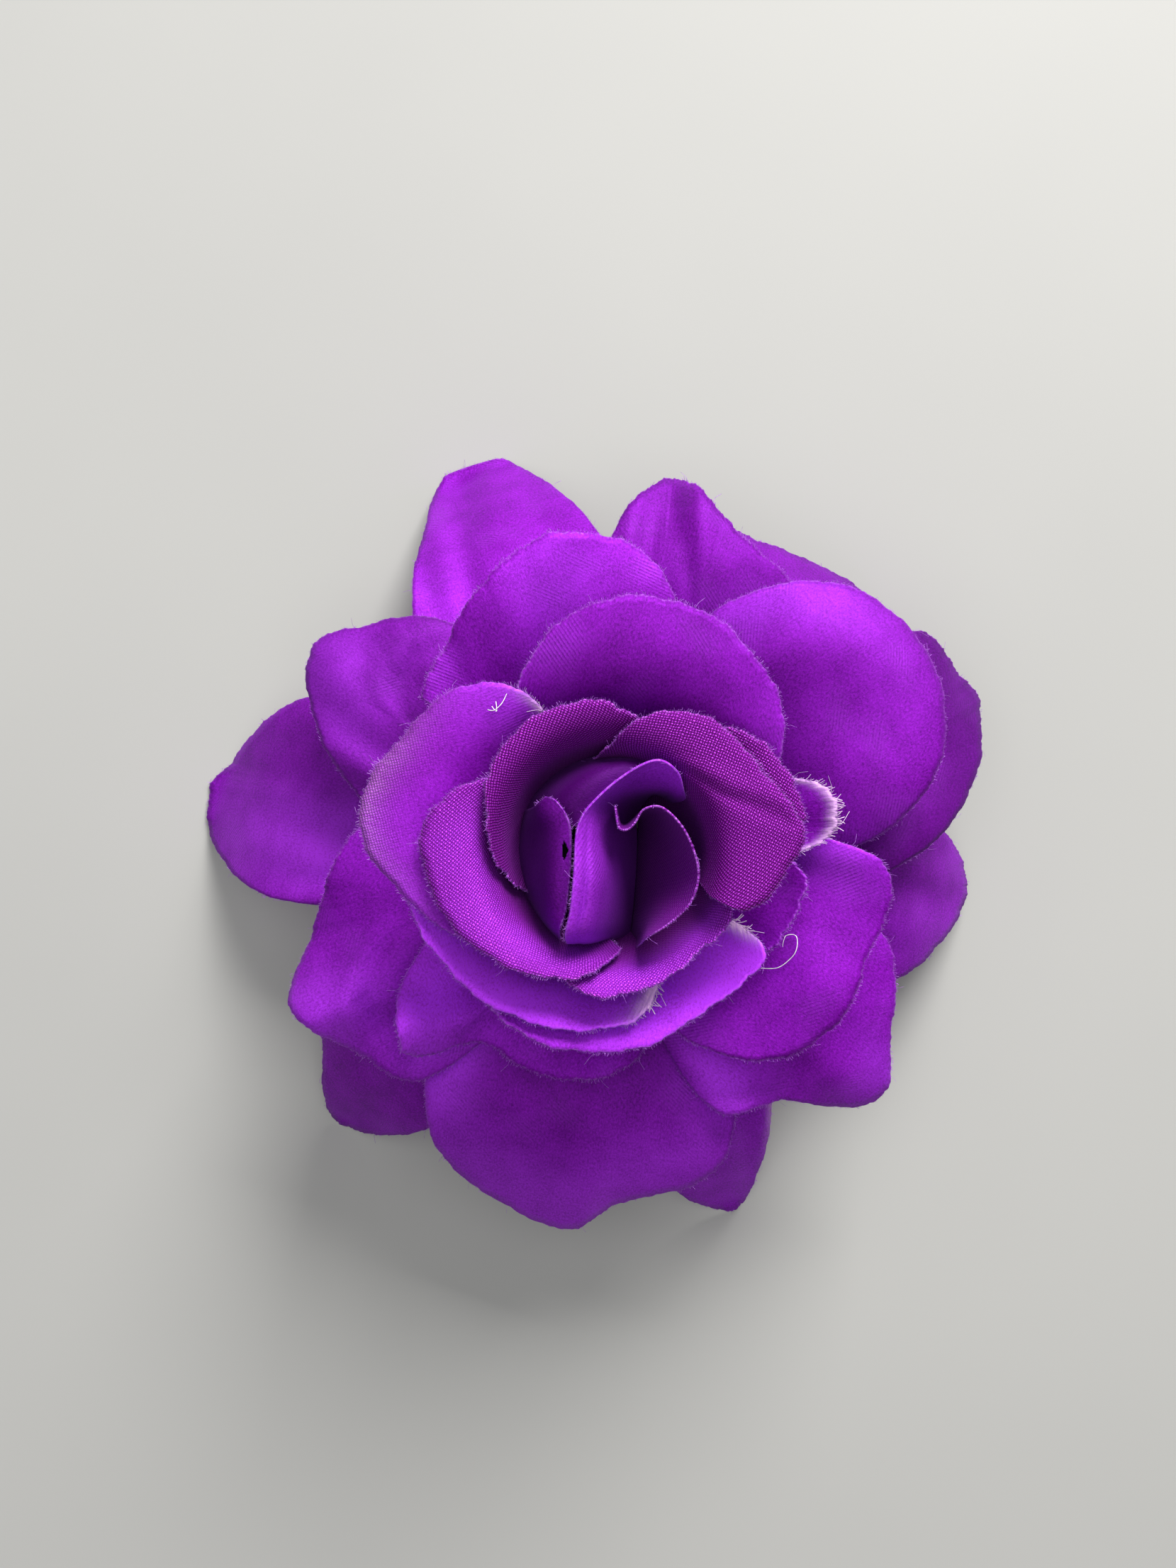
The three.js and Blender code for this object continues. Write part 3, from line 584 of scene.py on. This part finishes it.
# Brushed nap: short fibres that mottle the dye, worn thin over the twill ribs here and there.
g, given, gives = group("brushed_nap", [("Cloth", "NodeSocketVector", None)],
                        ["Height", "Mottle", "Ribs", "Streak"])
fibre = g.noise(g.vector("MULTIPLY", given["Cloth"], (3.6, 2.4, 1)), 1.0, 4, 0.85)
patch = g.noise(given["Cloth"], 0.22, 3)
slanted = g.node("ShaderNodeVectorRotate", {"Vector": given["Cloth"], "Angle": 0.9},
                 rotation_type="Z_AXIS")
rib_at = g.node("ShaderNodeSeparateXYZ", {0: slanted}).outputs["X"]
rib = g.math("ABSOLUTE", g.math("SINE", g.math("MULTIPLY", rib_at, math.pi / 0.40)))
bare = g.noise(given["Cloth"], 0.10, 1)
ribs = g.math("MULTIPLY", rib, g.between(bare.outputs["Fac"], 0.52, 0.72))
g.put(g.math("ADD", fibre.outputs["Fac"], g.math("MULTIPLY", ribs, 0.5)), gives["Height"])
g.put(g.math("ADD", g.math("MULTIPLY", fibre.outputs["Fac"], 0.8),
             g.math("MULTIPLY", patch.outputs["Fac"], 0.2)), gives["Mottle"])
g.put(ribs, gives["Ribs"])
g.put(g.noise(g.vector("MULTIPLY", given["Cloth"], (3.5, 0.35, 1)), 1.0, 2).outputs["Fac"],
      gives["Streak"])

petal_cloth, f, shader, here = finish_of("petal_cloth")
cloth_uv = f.node("ShaderNodeUVMap", uv_map="cloth").outputs[0]
weave = f.node("ShaderNodeGroup", {}, node_tree=bpy.data.node_groups["plain_weave"])
nap = f.node("ShaderNodeGroup", {}, node_tree=bpy.data.node_groups["brushed_nap"])
f.put(cloth_uv, weave.inputs["Cloth"])
f.put(cloth_uv, nap.inputs["Cloth"])
# The attributes read here: weave, distance from the cut edge, pale dye, painted shade and painted
# highlights.
woven, cut, bleached, depth, painted_highlight = (
    f.node("ShaderNodeAttribute", attribute_name=key).outputs["Fac"]
    for key in ("weave", "cut", "pale", "painted_shade", "nap"))
suede = f.mix(f.between(nap.outputs["Mottle"], 0.38, 0.62),
              (0.12, 0.0003, 0.225, 1), (0.32, 0.008, 0.60, 1))
suede = f.mix(f.math("MULTIPLY", nap.outputs["Ribs"], 0.35), suede, (0.40, 0.05, 0.72, 1))
# Painted light on the weave: threads lighter on their tops and darker, as painted shade, in the gaps
# between them, with painted highlights (the glints) on the tops.
ribbed = f.mix(f.between(weave.outputs["Height"], 0.1, 0.9),
               (0.10, 0.0005, 0.14, 1), (0.29, 0.008, 0.42, 1))
ribbed = f.mix(f.math("MULTIPLY", weave.outputs["Glint"], 0.24), ribbed, (0.66, 0.20, 0.86, 1))
dyed = f.mix(woven, suede, ribbed)
# Painted highlight: where the bright patches lie the dye turns lighter violet, broken up by the
# nap's mottle.
highlight_share = f.math("MULTIPLY", painted_highlight, f.between(nap.outputs["Mottle"], 0.40, 0.60, 0.25, 0.62),
                clamp=True)
dyed = f.mix(highlight_share, dyed, (0.49, 0.04, 0.94, 1))
# Painted shade: near-black violet over the root of each petal, where the rings above shade it, and
# over petals given as dull.
dyed = f.mix(f.math("MULTIPLY", depth, 0.6), dyed, (0.040, 0.0003, 0.075, 1))
washed = f.math("MULTIPLY", bleached, f.between(nap.outputs["Streak"], 0.35, 0.6, 0.6, 1.1),
                clamp=True)
dyed = f.mix(washed, dyed, (0.97, 0.60, 1.0, 1))
fringe = f.math("MULTIPLY", f.between(cut, 0.0, 0.28, 1.0, 0.0),
                f.between(f.noise(cloth_uv, 3.0).outputs["Fac"], 0.40, 0.65), clamp=True)
f.put(f.mix(f.math("MULTIPLY", fringe, 0.5), dyed, (0.58, 0.18, 0.86, 1)),
      shader.inputs["Base Color"])
height = f.math("ADD", f.math("MULTIPLY", weave.outputs["Height"], woven),
                f.math("MULTIPLY", nap.outputs["Height"],
                       f.math("SUBTRACT", 0.9, f.math("MULTIPLY", woven, 0.7))))
relief(f, shader, height, 0.07, 1.0)
f.put(f.between(woven, 0, 1, 0.52, 0.42), shader.inputs["Roughness"])
f.put(f.between(washed, 0, 1, 0.35, 0.0), shader.inputs["Metallic"])
shader.inputs["Sheen Weight"].default_value = 0.08
shader.inputs["Sheen Roughness"].default_value = 0.35
shader.inputs["Sheen Tint"].default_value = (0.60, 0.20, 1.0, 1)
shader.inputs["Specular IOR Level"].default_value = 0.12

loose_fibre, f, shader, here = finish_of("loose_fibre")
bleached = f.node("ShaderNodeAttribute", attribute_name="pale").outputs["Fac"]
speck = f.noise(here, 3000, 1)
dyed = f.mix(f.between(speck.outputs["Fac"], 0.4, 0.6), (0.20, 0.01, 0.42, 1),
             (0.50, 0.12, 0.80, 1))
f.put(f.mix(f.math("MULTIPLY", bleached, 1.0, clamp=True), dyed, (0.86, 0.62, 0.88, 1)),
      shader.inputs["Base Color"])
shader.inputs["Roughness"].default_value = 0.55


def along_edge(g, given):
    """Fibres set out along an edge, leaning the way the cloth runs out."""
    edge = g.node("GeometryNodeMeshToCurve", {"Mesh": given["Cloth"]})
    stations = g.node("GeometryNodeResampleCurve", {"Curve": edge, "Length": given["Spacing"]},
                      mode="LENGTH")
    lean = g.node("GeometryNodeInputNamedAttribute", {"Name": "outward"},
                  data_type="FLOAT_VECTOR")
    loose = g.node("GeometryNodeInputNamedAttribute", {"Name": "loose"}, data_type="FLOAT")
    return stations, lean.outputs[0], loose.outputs[0]


fraying = fibre_tree("frayed_edge", along_edge)


FREE_FROM = 0.55                        # how far up its sides a petal's edge comes free


def cut_edge(middle, bleached):
    """The free edge of a petal, from part-way up one side round to the other: its points, the
    way out of the cloth at each, and how frayed and how pale it is there."""
    start = int(OUT * FREE_FROM)
    loop = [(0, j) for j in range(start, OUT)] + [(i, OUT) for i in range(ACROSS + 1)]
    loop += [(ACROSS, j) for j in range(OUT - 1, start, -1)]
    i, j = np.array(loop).T
    inside_i = np.clip(i, 2, ACROSS - 2)
    inside_j = np.minimum(j, OUT - 2)
    outward = middle[i, j] - middle[inside_i, inside_j]
    outward /= np.linalg.norm(outward, axis=1)[:, None]
    return middle[i, j], outward, bleached[i, j]


FIBRE = 0.045


def fray(name, edges):
    """Fibres along the cut edges of a ring of petals, and some long strays among them."""
    points = np.concatenate([edge[0] for edge in edges]) + rose_axis
    ends = np.cumsum([len(edge[0]) for edge in edges])
    pairs = [(i, i + 1) for i in range(len(points) - 1) if i + 1 not in ends]
    mesh = bpy.data.meshes.new(name + "_edges")
    mesh.from_pydata((points * MM).tolist(), pairs, [])
    outward = np.concatenate([edge[1] for edge in edges])
    bleached = np.concatenate([edge[2] for edge in edges])
    tuft = 1 + 0.5 * np.sin(np.arange(len(points)) * 0.37) * np.sin(np.arange(len(points)) * 0.11)
    mesh.attributes.new("outward", "FLOAT_VECTOR", "POINT").data.foreach_set(
        "vector", outward.astype(np.float32).ravel())
    for key, values in (("loose", tuft + 1.6 * bleached), ("pale", 0.1 + bleached)):
        mesh.attributes.new(key, "FLOAT", "POINT").data.foreach_set(
            "value", values.astype(np.float32))
    edge = bpy.data.objects.new(name + "_edges", mesh)
    bpy.context.collection.objects.link(edge)
    short = grown(name, edge, fraying, Spacing=0.17 * MM, Seed=len(edges), Length=0.42 * MM,
                  Thickness=FIBRE * MM, Splay=0.55, Bend=0.3, Finish=loose_fibre)
    stray = grown(name + "_strays", edge, fraying, Spacing=6 * MM, Seed=len(edges) + 9,
                  Length=1.3 * MM, Thickness=FIBRE * MM, Splay=0.7, Bend=0.9, Finish=loose_fibre)
    bpy.data.objects.remove(edge)
    for fibres in (short, stray):
        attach(fibres, "flower_and_bar")
    return [short, stray]


# Each petal: the skin it lies on, how far it droops and its rim as (bearing, distance from the
# axis), going round anticlockwise, with the curls and creases that mark it, how much painted
# shade darkens it (dull) and its patches; the bright patches are painted highlights.
PETALS = {
    "outer_petal": [
        dict(level=1.2, droop=7.2, curls=[(0.9, 0.15, 0.5), (0.45, 0.2, -0.4)],
             bright=[(0.85, 0.8, 0.3, 0.3, 0.5)],
             rim=[(86, 36), (97, 50), (105, 58.2), (110, 59.4), (115, 57.6), (121, 50.5),
                  (127, 45), (135, 34.5)]),
        dict(level=0.2, droop=2.6, curls=[(0.82, 0.2, 0.9), (0.35, 0.2, -0.5)],
             dull=0.25, bright=[(0.72, 0.62, 0.3, 0.3, 2.2)],
             rim=[(150, 42), (158, 50), (168, 55.5), (173, 59), (181, 58), (189, 49),
                  (194, 35.5)]),
        dict(level=1.2, droop=8.3, curls=[(0.3, 0.2, 0.4)], dull=0.1,
             rim=[(208, 43.5), (217, 51), (226, 58), (234, 53), (242, 43)]),
        dict(level=0.2, droop=3.5, curls=[(0.75, 0.2, 0.4)],
             pale=[(0.8, 1, 0.12, 0.03, 0.35)], bright=[(0.5, 0.9, 0.4, 0.3, 0.6)],
             rim=[(276, 44.5), (284, 55), (290, 58.5), (295, 53), (303, 43.5), (310, 39)]),
        dict(level=1.2, droop=11, curls=[(0.35, 0.12, 0.6), (0.75, 0.2, -0.3)],
             dull=0.1, bright=[(0.3, 0.8, 0.2, 0.25, 0.4)],
             rim=[(329, 41), (340, 49), (350, 54), (358, 51.5), (368, 43)]),
        dict(level=0.2, droop=10.8, curls=[(0.2, 0.1, 0.4)], dull=0.35,
             rim=[(28, 52), (37, 54), (46, 52.5), (61, 49), (69, 48), (76, 42)]),
    ],
    "second_petal": [
        dict(level=4.2, curls=[(0.65, 0.12, -0.5), (0.3, 0.15, 0.5)], dull=0.45,
             creases=[(0.60, 0.92, 0.30, 0.66, 0.10, 0.4)],
             rim=[(49, 41.5), (63, 43.5), (70, 46), (75, 48.8), (79, 49.2), (84, 46.2),
                  (88, 42), (92, 34.5)]),
        dict(level=3.2, curls=[(0.5, 0.12, 0.4), (0.2, 0.12, -0.4)], dull=0.65,
             creases=[(0.15, 0.92, 0.55, 0.60, 0.05, 0.5)],
             bright=[(0.58, 0.92, 0.22, 0.22, 1.3)],
             rim=[(121, 29.5), (126, 36.5), (137, 43), (146, 47.5), (156, 42.5), (164, 37),
                  (173, 30)]),
        dict(level=4.2, curls=[(0.53, 0.08, 0.9), (0.33, 0.12, -0.6), (0.8, 0.1, 0.5)],
             dull=0.1, bright=[(0.55, 0.95, 0.12, 0.25, 1.6), (0.85, 0.85, 0.12, 0.2, 1.0)],
             creases=[(0.40, 0.62, 0.80, 0.95, 0.05, 0.6)],
             rim=[(170, 30), (184, 35.5), (197, 39.5), (208, 47), (219, 42.5), (231, 39.5),
                  (240, 26)]),
        dict(level=3.2, curls=[(0.15, 0.1, 0.5), (0.85, 0.12, 0.5), (0.5, 0.2, -0.3)],
             dull=0.3, bright=[(0.08, 0.8, 0.08, 0.3, 1.6), (0.5, 0.93, 0.5, 0.14, 1.5)],
             rim=[(229, 35), (241, 46.5), (263, 53), (272, 48.5), (290, 45.5), (299, 34)]),
        dict(level=4.2, curls=[(0.22, 0.09, 0.7), (0.38, 0.08, -0.5), (0.52, 0.08, 0.3)],
             bright=[(0.2, 0.85, 0.1, 0.25, 1.5), (0.55, 0.97, 0.1, 0.1, 1.2)],
             rim=[(286, 25.5), (293, 38), (306, 41), (317, 49.5), (327, 44.5), (340, 39.5),
                  (345, 33)]),
        dict(level=3.2, curls=[(0.15, 0.12, 0.4), (0.6, 0.2, -0.3)], dull=0.95,
             rim=[(-10, 31.5), (-3, 40), (5, 47.5), (12, 52.3), (18, 54.6), (22, 55.2),
                  (26, 53.4), (30, 53.4), (34, 51.5), (37, 45.5)]),
    ],
    "third_petal": [
        dict(level=6.2, curls=[(0.15, 0.12, -0.5), (0.45, 0.2, 0.3)], dull=0.3,
             bright=[(0.75, 0.93, 0.2, 0.12, 0.9)],
             creases=[(0.02, 0.85, 0.30, 0.62, 0.035, 0.4), (0.06, 0.66, 0.36, 0.52, 0.03, 0.3)],
             rim=[(-4, 24), (1, 32), (9, 40), (20, 46), (36, 48), (51, 43.5), (65, 33),
                  (70, 27.5)]),
        dict(level=7.2, curls=[(0.55, 0.14, 0.6), (0.9, 0.15, -0.4)],
             bright=[(0.42, 0.8, 0.18, 0.3, 0.8)],
             creases=[(0.62, 0.95, 0.92, 0.62, 0.08, 0.25)],
             rim=[(72, 29.5), (82, 36), (96, 39.5), (107, 39.5), (117, 36), (130, 31),
                  (141, 28.5)]),
        dict(level=7.2, curls=[(0.2, 0.15, -0.3), (0.8, 0.12, 0.5)], dull=0.1,
             bright=[(0.85, 0.8, 0.14, 0.3, 1.5)],
             rim=[(286, 21.5), (303, 30.5), (321, 34.5), (338, 35), (355, 35), (363, 28),
                  (367, 21.5)]),
        dict(level=6.2, curls=[(0.25, 0.1, 0.7), (0.55, 0.12, -0.4)],
             bright=[(0.25, 0.9, 0.2, 0.35, 1.9)],
             rim=[(206, 24), (217, 33.5), (226, 36.5), (237, 29), (258, 30), (275, 28),
                  (283, 24.5)]),
    ],
    "cup_petal": [
        dict(level=11.5, dull=0.3,
             rim=[(18, 19.5), (36, 26.5), (50, 29), (70, 31.5), (90, 30.5), (108, 26.5),
                  (123, 21.5)]),
        # Its pale patch at 0.62 across, on the lip rolled back over the rim, is a painted sheen.
        dict(level=12.5, pale=[(0.08, 0.985, 0.09, 0.05, 1.1), (0.62, 1, 0.16, 0.05, 0.15)],
             bright=[(0.2, 0.9, 0.18, 0.2, 0.9), (0.75, 0.95, 0.2, 0.15, 0.6)],
             bare=[(0.62, 1.0, 0.2, 0.10, 0.9)],
             rim=[(114, 15), (116, 20.5), (130, 26.5), (152, 28.5), (173, 30), (193, 25),
                  (217, 18.5)]),
        dict(level=11.3, pale=[(0.88, 1, 0.07, 0.10, 1.5)],
             bright=[(0.5, 0.9, 0.5, 0.4, 2.2)],
             rim=[(185, 23), (193, 25), (217, 24), (248, 22.6), (280, 20.8), (298, 14.5)]),
        dict(level=10.2, pale=[(0.91, 0.97, 0.05, 0.12, 1.4)],
             bright=[(0.7, 0.9, 0.35, 0.4, 2.4)],
             rim=[(219, 21), (238, 24.5), (270, 24.5), (303, 23), (327, 23), (331, 15)]),
        dict(level=9.2, dull=0.3, rim=[(319, 21.5), (331, 24), (351, 25), (360, 20.5)]),
        dict(level=8.2, pale=[(0.5, 1, 0.5, 0.04, 0.9)],
             rim=[(-3, 22.5), (4, 28), (14, 29), (25, 22.5)]),
    ],
    "bud_petal": [
        dict(level=18, creases=[(0.70, 0.72, 0.36, 0.99, 0.03, 0.35)],
             rim=[(-23, 13), (-22, 17.5), (-3, 21.5), (8, 23), (26, 20.5), (50, 19.8),
                  (71, 17.5), (88, 13), (103, 10.5)]),
        dict(level=15.3, to=17.6,
             rim=[(67, 15), (84, 17), (100, 18.2), (137, 17.5), (163, 15), (193, 12.5),
                  (207, 11)]),
        dict(level=14.4, to=16.6, bright=[(0.5, 0.85, 0.5, 0.2, 1.0)],
             rim=[(141, 14.5), (158, 19.5), (175, 22), (206, 20), (236, 17), (257, 15),
                  (278, 12)]),
        dict(level=14.1, to=14.6, bright=[(0.4, 0.85, 0.4, 0.2, 1.3)],
             rim=[(242, 15), (267, 17), (309, 16), (334, 16.5), (356, 14.5), (369, 13)]),
        dict(level=13, rim=[(5, 20), (9, 23.5), (26, 23.2), (42, 21.5), (57, 17)]),
    ],
}
RINGS = {                               # how dented, how lipped and how woven-looking a ring is
    "outer_petal": (0.55, -0.15, 0.0), "second_petal": (0.50, -0.25, 0.0),
    "third_petal": (0.42, -0.25, 0.0), "cup_petal": (0.15, 0.15, 0.0),
    "bud_petal": (0.05, 0.0, 1.0),
}


def declare(petals, fringe):
    """Attaches each petal of a ring to the flower_and_bar body."""
    for piece, flat in petals:
        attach(piece, "flower_and_bar")


seed = 0
for ring, petals in PETALS.items():
    dent, lip, woven = RINGS[ring]
    made, edges = [], []
    for i, drawn in enumerate(petals):
        middle, flat, maps = pressed(seed=seed, dent=dent, lip=lip, **drawn)
        maps["weave"] += woven
        piece = cut_sheet(f"rose_{ring}_{i + 1}", middle, flat, petal_cloth, maps)
        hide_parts(f"{ring}_{i + 1}")
        made.append((piece, flat))
        edges.append(cut_edge(middle, maps["pale"]))
        seed += 1
    declare(made, fray("frayed_" + ring, edges))

# ---- heart of the rose -------------------------------------------------------------------------
# Four small petals are crumpled together and pushed down into the bud over the foam core. Each is
# drawn as rows of points from its rim down to its hidden foot, in mm from the axis and the cup.
HEART = [
    dict(woven=0.0, dull=0.0, bright=1.5, gutter=(0.50, 0.5), rows=[
        [(9.6, 6.2, 27.5), (8.9, 7.5, 32.5), (8, 9.6, 34.9), (5.8, 10.9, 35.5), (2.7, 9.7, 35.9),
         (-1.1, 6.7, 36.3), (-3.5, 3.4, 36.5), (-4, -2.3, 36.3), (-4.4, -6.4, 35.7),
         (-5, -9.4, 34.5), (-4.9, -10.7, 31), (-4.6, -11.4, 25)],
        [(8.8, 5.9, 24), (8.2, 6.4, 28.6), (7.2, 7.3, 30.7), (5.5, 7.5, 30.0), (3.0, 7.1, 29.6),
         (0, 5.6, 31), (-1.0, 2.2, 33.2), (-0.6, -2, 33.7), (-0.9, -5.6, 33.5),
         (-1.5, -9.0, 32.4), (-1.6, -10.7, 28.5), (-1.6, -11.6, 23)],
        [(8.0, 5.7, 20), (7.6, 6.1, 22), (6.8, 6.6, 23), (5.6, 6.8, 22.5), (4.4, 5.6, 22),
         (3.6, 3.9, 22), (3.7, 1.6, 21.5), (3.6, -2, 21.5), (3.4, -5, 21.5), (3.2, -7.8, 21),
         (3.0, -9.8, 20), (2.8, -11, 19)]]),
    dict(woven=0.9, dull=0.0, bright=0.1, rows=[
        [(0.8, 5.5, 35), (1.2, 3.1, 35.2), (2.2, 2.8, 35.2), (3.1, 3.6, 35.3), (4.2, 5.2, 35.3),
         (6.4, 5.3, 35.4), (9, 2.5, 35.5), (10.5, -2, 35.3), (9.6, -5.7, 34.9), (7, -8.3, 34.3),
         (4.6, -9.9, 33.3), (4.0, -11.0, 29.5), (3.6, -12, 24)],
        [(1, 5.2, 31.6), (1.4, 3.4, 31.7), (2.2, 3.1, 31.4), (3.2, 3.9, 30.3), (4.3, 4.9, 29.0),
         (5.8, 4.6, 28.2), (7.2, 2.0, 27.8), (7.4, -1.6, 27.4), (6.8, -4.4, 27.2),
         (5.6, -6.8, 27), (4.5, -9.2, 26.6), (4.0, -10.6, 24), (3.7, -11.6, 21)],
        [(1.4, 4.6, 24), (1.7, 3.4, 23), (2.3, 3.2, 22), (3.0, 3.6, 21), (3.6, 4.0, 20.5),
         (4.0, 3.4, 20), (4.0, 1.6, 19.8), (3.8, -1.4, 19.8), (3.6, -4, 19.8), (3.4, -6.6, 19.8),
         (3.3, -8.6, 19.8), (3.2, -10.2, 19.6), (3.2, -11.4, 19)]]),
    dict(woven=0.0, dull=0.6, bright=0.0, hole=(0.36, 0.17, 0.035, 0.06), rows=[
        [(-7.4, 6.6, 33.2), (-6, 6.1, 34.2), (-4.5, 3.6, 34.6), (-4.3, 0, 34.3),
         (-4.5, -3.5, 34.1), (-4.9, -6.6, 33.7), (-5.6, -8.9, 33), (-5.7, -10.3, 29),
         (-5.8, -11.2, 24)],
        [(-8.7, 5.4, 31.0), (-8.3, 4.2, 31.8), (-7.4, 2.6, 32.4), (-7.2, -0.4, 32.6),
         (-7.3, -3.4, 32.4), (-7.3, -6.0, 31.8), (-7.2, -8.4, 30), (-6.8, -9.9, 26),
         (-6.6, -10.6, 22)],
        [(-10.4, 4.8, 22.5), (-10.8, 3.2, 22.5), (-11.3, 1.2, 22.5), (-11.4, -0.8, 22.5),
         (-11, -3, 22.5), (-10.2, -5.4, 22.5), (-9.2, -7.4, 22), (-8.4, -8.6, 21),
         (-8.0, -9.2, 20)]]),
    dict(woven=0.0, dull=1.1, bright=0.0, rows=[
        [(5.2, 10.4, 30.6), (3.6, 9.6, 32.2), (1.4, 8.2, 32.7), (-0.7, 6.5, 32.8),
         (-2.5, 4.6, 32.6), (-3.6, 3.0, 32.2)],
        [(4.2, 11.2, 28.5), (1.4, 10.8, 31.0), (-1.6, 9.7, 31.8), (-4.2, 8.0, 31.8),
         (-6.2, 6.0, 31.2), (-7.2, 4.2, 30.4)],
        [(3.6, 11.8, 22), (0.4, 12.0, 22), (-3.4, 11.4, 22), (-6.8, 9.6, 22),
         (-9.6, 7.0, 22), (-11, 4.4, 22)]]),
]
made, edges = [], []
for i, drawn in enumerate(HEART):
    u = np.linspace(0, 1, ACROSS + 1)
    rows = np.stack([through(points, u) for points in drawn["rows"]])
    middle = np.stack([through(rows[:, k], np.linspace(1, 0, OUT + 1))
                       for k in range(ACROSS + 1)])
    middle[..., 2] += HUB_FOOT
    v = np.linspace(0, 1, OUT + 1)[None]
    if "gutter" in drawn:
        start, depth = drawn["gutter"]
        below_rim = np.linalg.norm(middle - middle[:, -1:], axis=2)
        middle[..., 2] -= depth * bell(below_rim, 1.5, 0.5) * np.clip((u - start) * 6, 0, 1)[:, None]
    run = np.cumsum(np.linalg.norm(np.diff(middle, axis=1, prepend=middle[:, :1]), axis=2), 1)
    side = np.cumsum(np.linalg.norm(np.diff(middle, axis=0, prepend=middle[:1]), axis=2), 0)
    flat = np.stack([np.broadcast_to(side.mean(1)[:, None], run.shape), run], -1)
    hole = None
    if "hole" in drawn:
        at, down, wide, tall = drawn["hole"]
        cell_u = (np.arange(ACROSS)[:, None] + 0.5) / ACROSS
        cell_v = (np.arange(OUT)[None] + 0.5) / OUT
        ragged = 1 + 0.35 * np.sin(9 * np.arctan2(cell_v - 1 + down, cell_u - at))
        hole = ((cell_u - at) / wide) ** 2 + ((cell_v - 1 + down) / tall) ** 2 < ragged
    # Heart petals take painted shade that darkens them down into the bud, more where dull is given,
    # and painted highlights as strong as bright.
    piece = cut_sheet(f"rose_heart_petal_{i + 1}", middle, flat, petal_cloth,
                      {"weave": drawn["woven"], "pale": 0.0, "nap": drawn["bright"],
                       "painted_shade": np.clip(1.6 - 1.7 * v + drawn["dull"], 0, 1.4)}, hole)
    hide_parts(f"heart_petal_{i + 1}")
    made.append((piece, flat))
    edges.append(cut_edge(middle, np.zeros(middle.shape[:2])))
declare(made, fray("frayed_heart", edges))

# ---- loose threads -----------------------------------------------------------------------------
# A few ends of thread pulled out of the cut edges lie curled on the petals. Each lies along the
# points given, in mm from the middle of the piece, on whatever petal is under it.
THREADS = [
    [(21.8, -15.4), (24.2, -15.3), (25.9, -14.0), (26.6, -12.7), (26.6, -11.3), (25.6, -11.2),
     (24.3, -12.1)],
    [(-11.4, 16.6), (-10.6, 16.5), (-9.7, 17.3), (-9.1, 18.5)],
    [(-10.9, 17.0), (-10.3, 16.4), (-10.4, 17.6)],
]
THREAD = 0.11
pulled_thread, f, shader, here = finish_of("pulled_thread")
twist = f.noise(here, 2200, 2)
f.put(f.mix(f.between(twist.outputs["Fac"], 0.35, 0.65), (0.70, 0.52, 0.74, 1),
            (0.90, 0.86, 0.88, 1)), shader.inputs["Base Color"])
relief(f, shader, twist.outputs["Fac"], 0.02)
shader.inputs["Roughness"].default_value = 0.4
petal_tops = np.concatenate([np.array([v.co for v in obj.data.vertices]) / MM
                             for obj in bpy.data.objects if obj.name.startswith("rose_")])


def top_at(x, y, around=0.7):
    near = np.hypot(petal_tops[:, 0] - x, petal_tops[:, 1] - y) < around
    return petal_tops[near, 2].max()


for i, line in enumerate(THREADS):
    steps = np.linspace(0, 1, 10 * len(line))
    path = through(line, steps)
    lying = np.array([top_at(x, y) for x, y in path])
    lying = np.convolve(np.pad(lying, 4, "edge"), np.ones(9) / 9, "valid")
    loft = 0.2 + 0.5 * np.sin(math.pi * steps) ** 2
    slim = THREAD / 2 * np.clip(np.minimum(steps, 1 - steps) * 12 + 0.3, 0.3, 1)
    thread = mesh_object(f"pulled_thread_{i + 1}", *tube(
        np.column_stack([path, lying + loft]), slim, 8), pulled_thread)
    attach(thread, "flower_and_bar")

# ---- table, light and camera -------------------------------------------------------------------
# The clip lies rose up on a pale table and is seen from straight above, a hand's length away.
# Soft light comes over it from the far side, so its shadow falls to the near left.
TABLE = 2000                            # half its width
pale_paint, f, shader, here = finish_of("pale_table")
cloud = f.noise(here, 9, 3)
f.put(f.mix(cloud.outputs["Fac"], (0.40, 0.40, 0.385, 1), (0.46, 0.46, 0.44, 1)),
      shader.inputs["Base Color"])
shader.inputs["Roughness"].default_value = 0.7
table_top = mesh_object("table_top", [(-TABLE, -TABLE, 0), (TABLE, -TABLE, 0), (TABLE, TABLE, 0),
                                      (-TABLE, TABLE, 0)], [(0, 1, 2, 3)], pale_paint, smooth=False)


def lamp(name, place, size, watts, colour):
    light = bpy.data.lights.new(name, "AREA")
    light.size = size
    light.energy = watts
    light.color = colour
    obj = bpy.data.objects.new(name, light)
    obj.location = place
    towards = Vector((0, 0, 0.02)) - obj.location
    obj.rotation_euler = towards.to_track_quat("-Z", "Y").to_euler()
    bpy.context.collection.objects.link(obj)


lamp("window", (0.26, 0.72, 0.52), 0.45, 14.5, (1.0, 0.985, 0.97))
lamp("ceiling", (-0.05, 0.0, 0.95), 0.9, 4.0, (0.99, 0.99, 1.0))
room = bpy.data.worlds.new("room")
room.use_nodes = True
room.node_tree.nodes["Background"].inputs["Color"].default_value = (0.97, 0.98, 1.0, 1)
room.node_tree.nodes["Background"].inputs["Strength"].default_value = 0.20
bpy.context.scene.world = room
camera = bpy.data.objects.new("camera", bpy.data.cameras.new("camera"))
camera.data.lens = 35.6
camera.data.sensor_width = 36
camera.location = (0.0005, 0.0078, 0.2325)
bpy.context.collection.objects.link(camera)
bpy.context.scene.camera = camera
bpy.context.scene.view_settings.view_transform = "Standard"
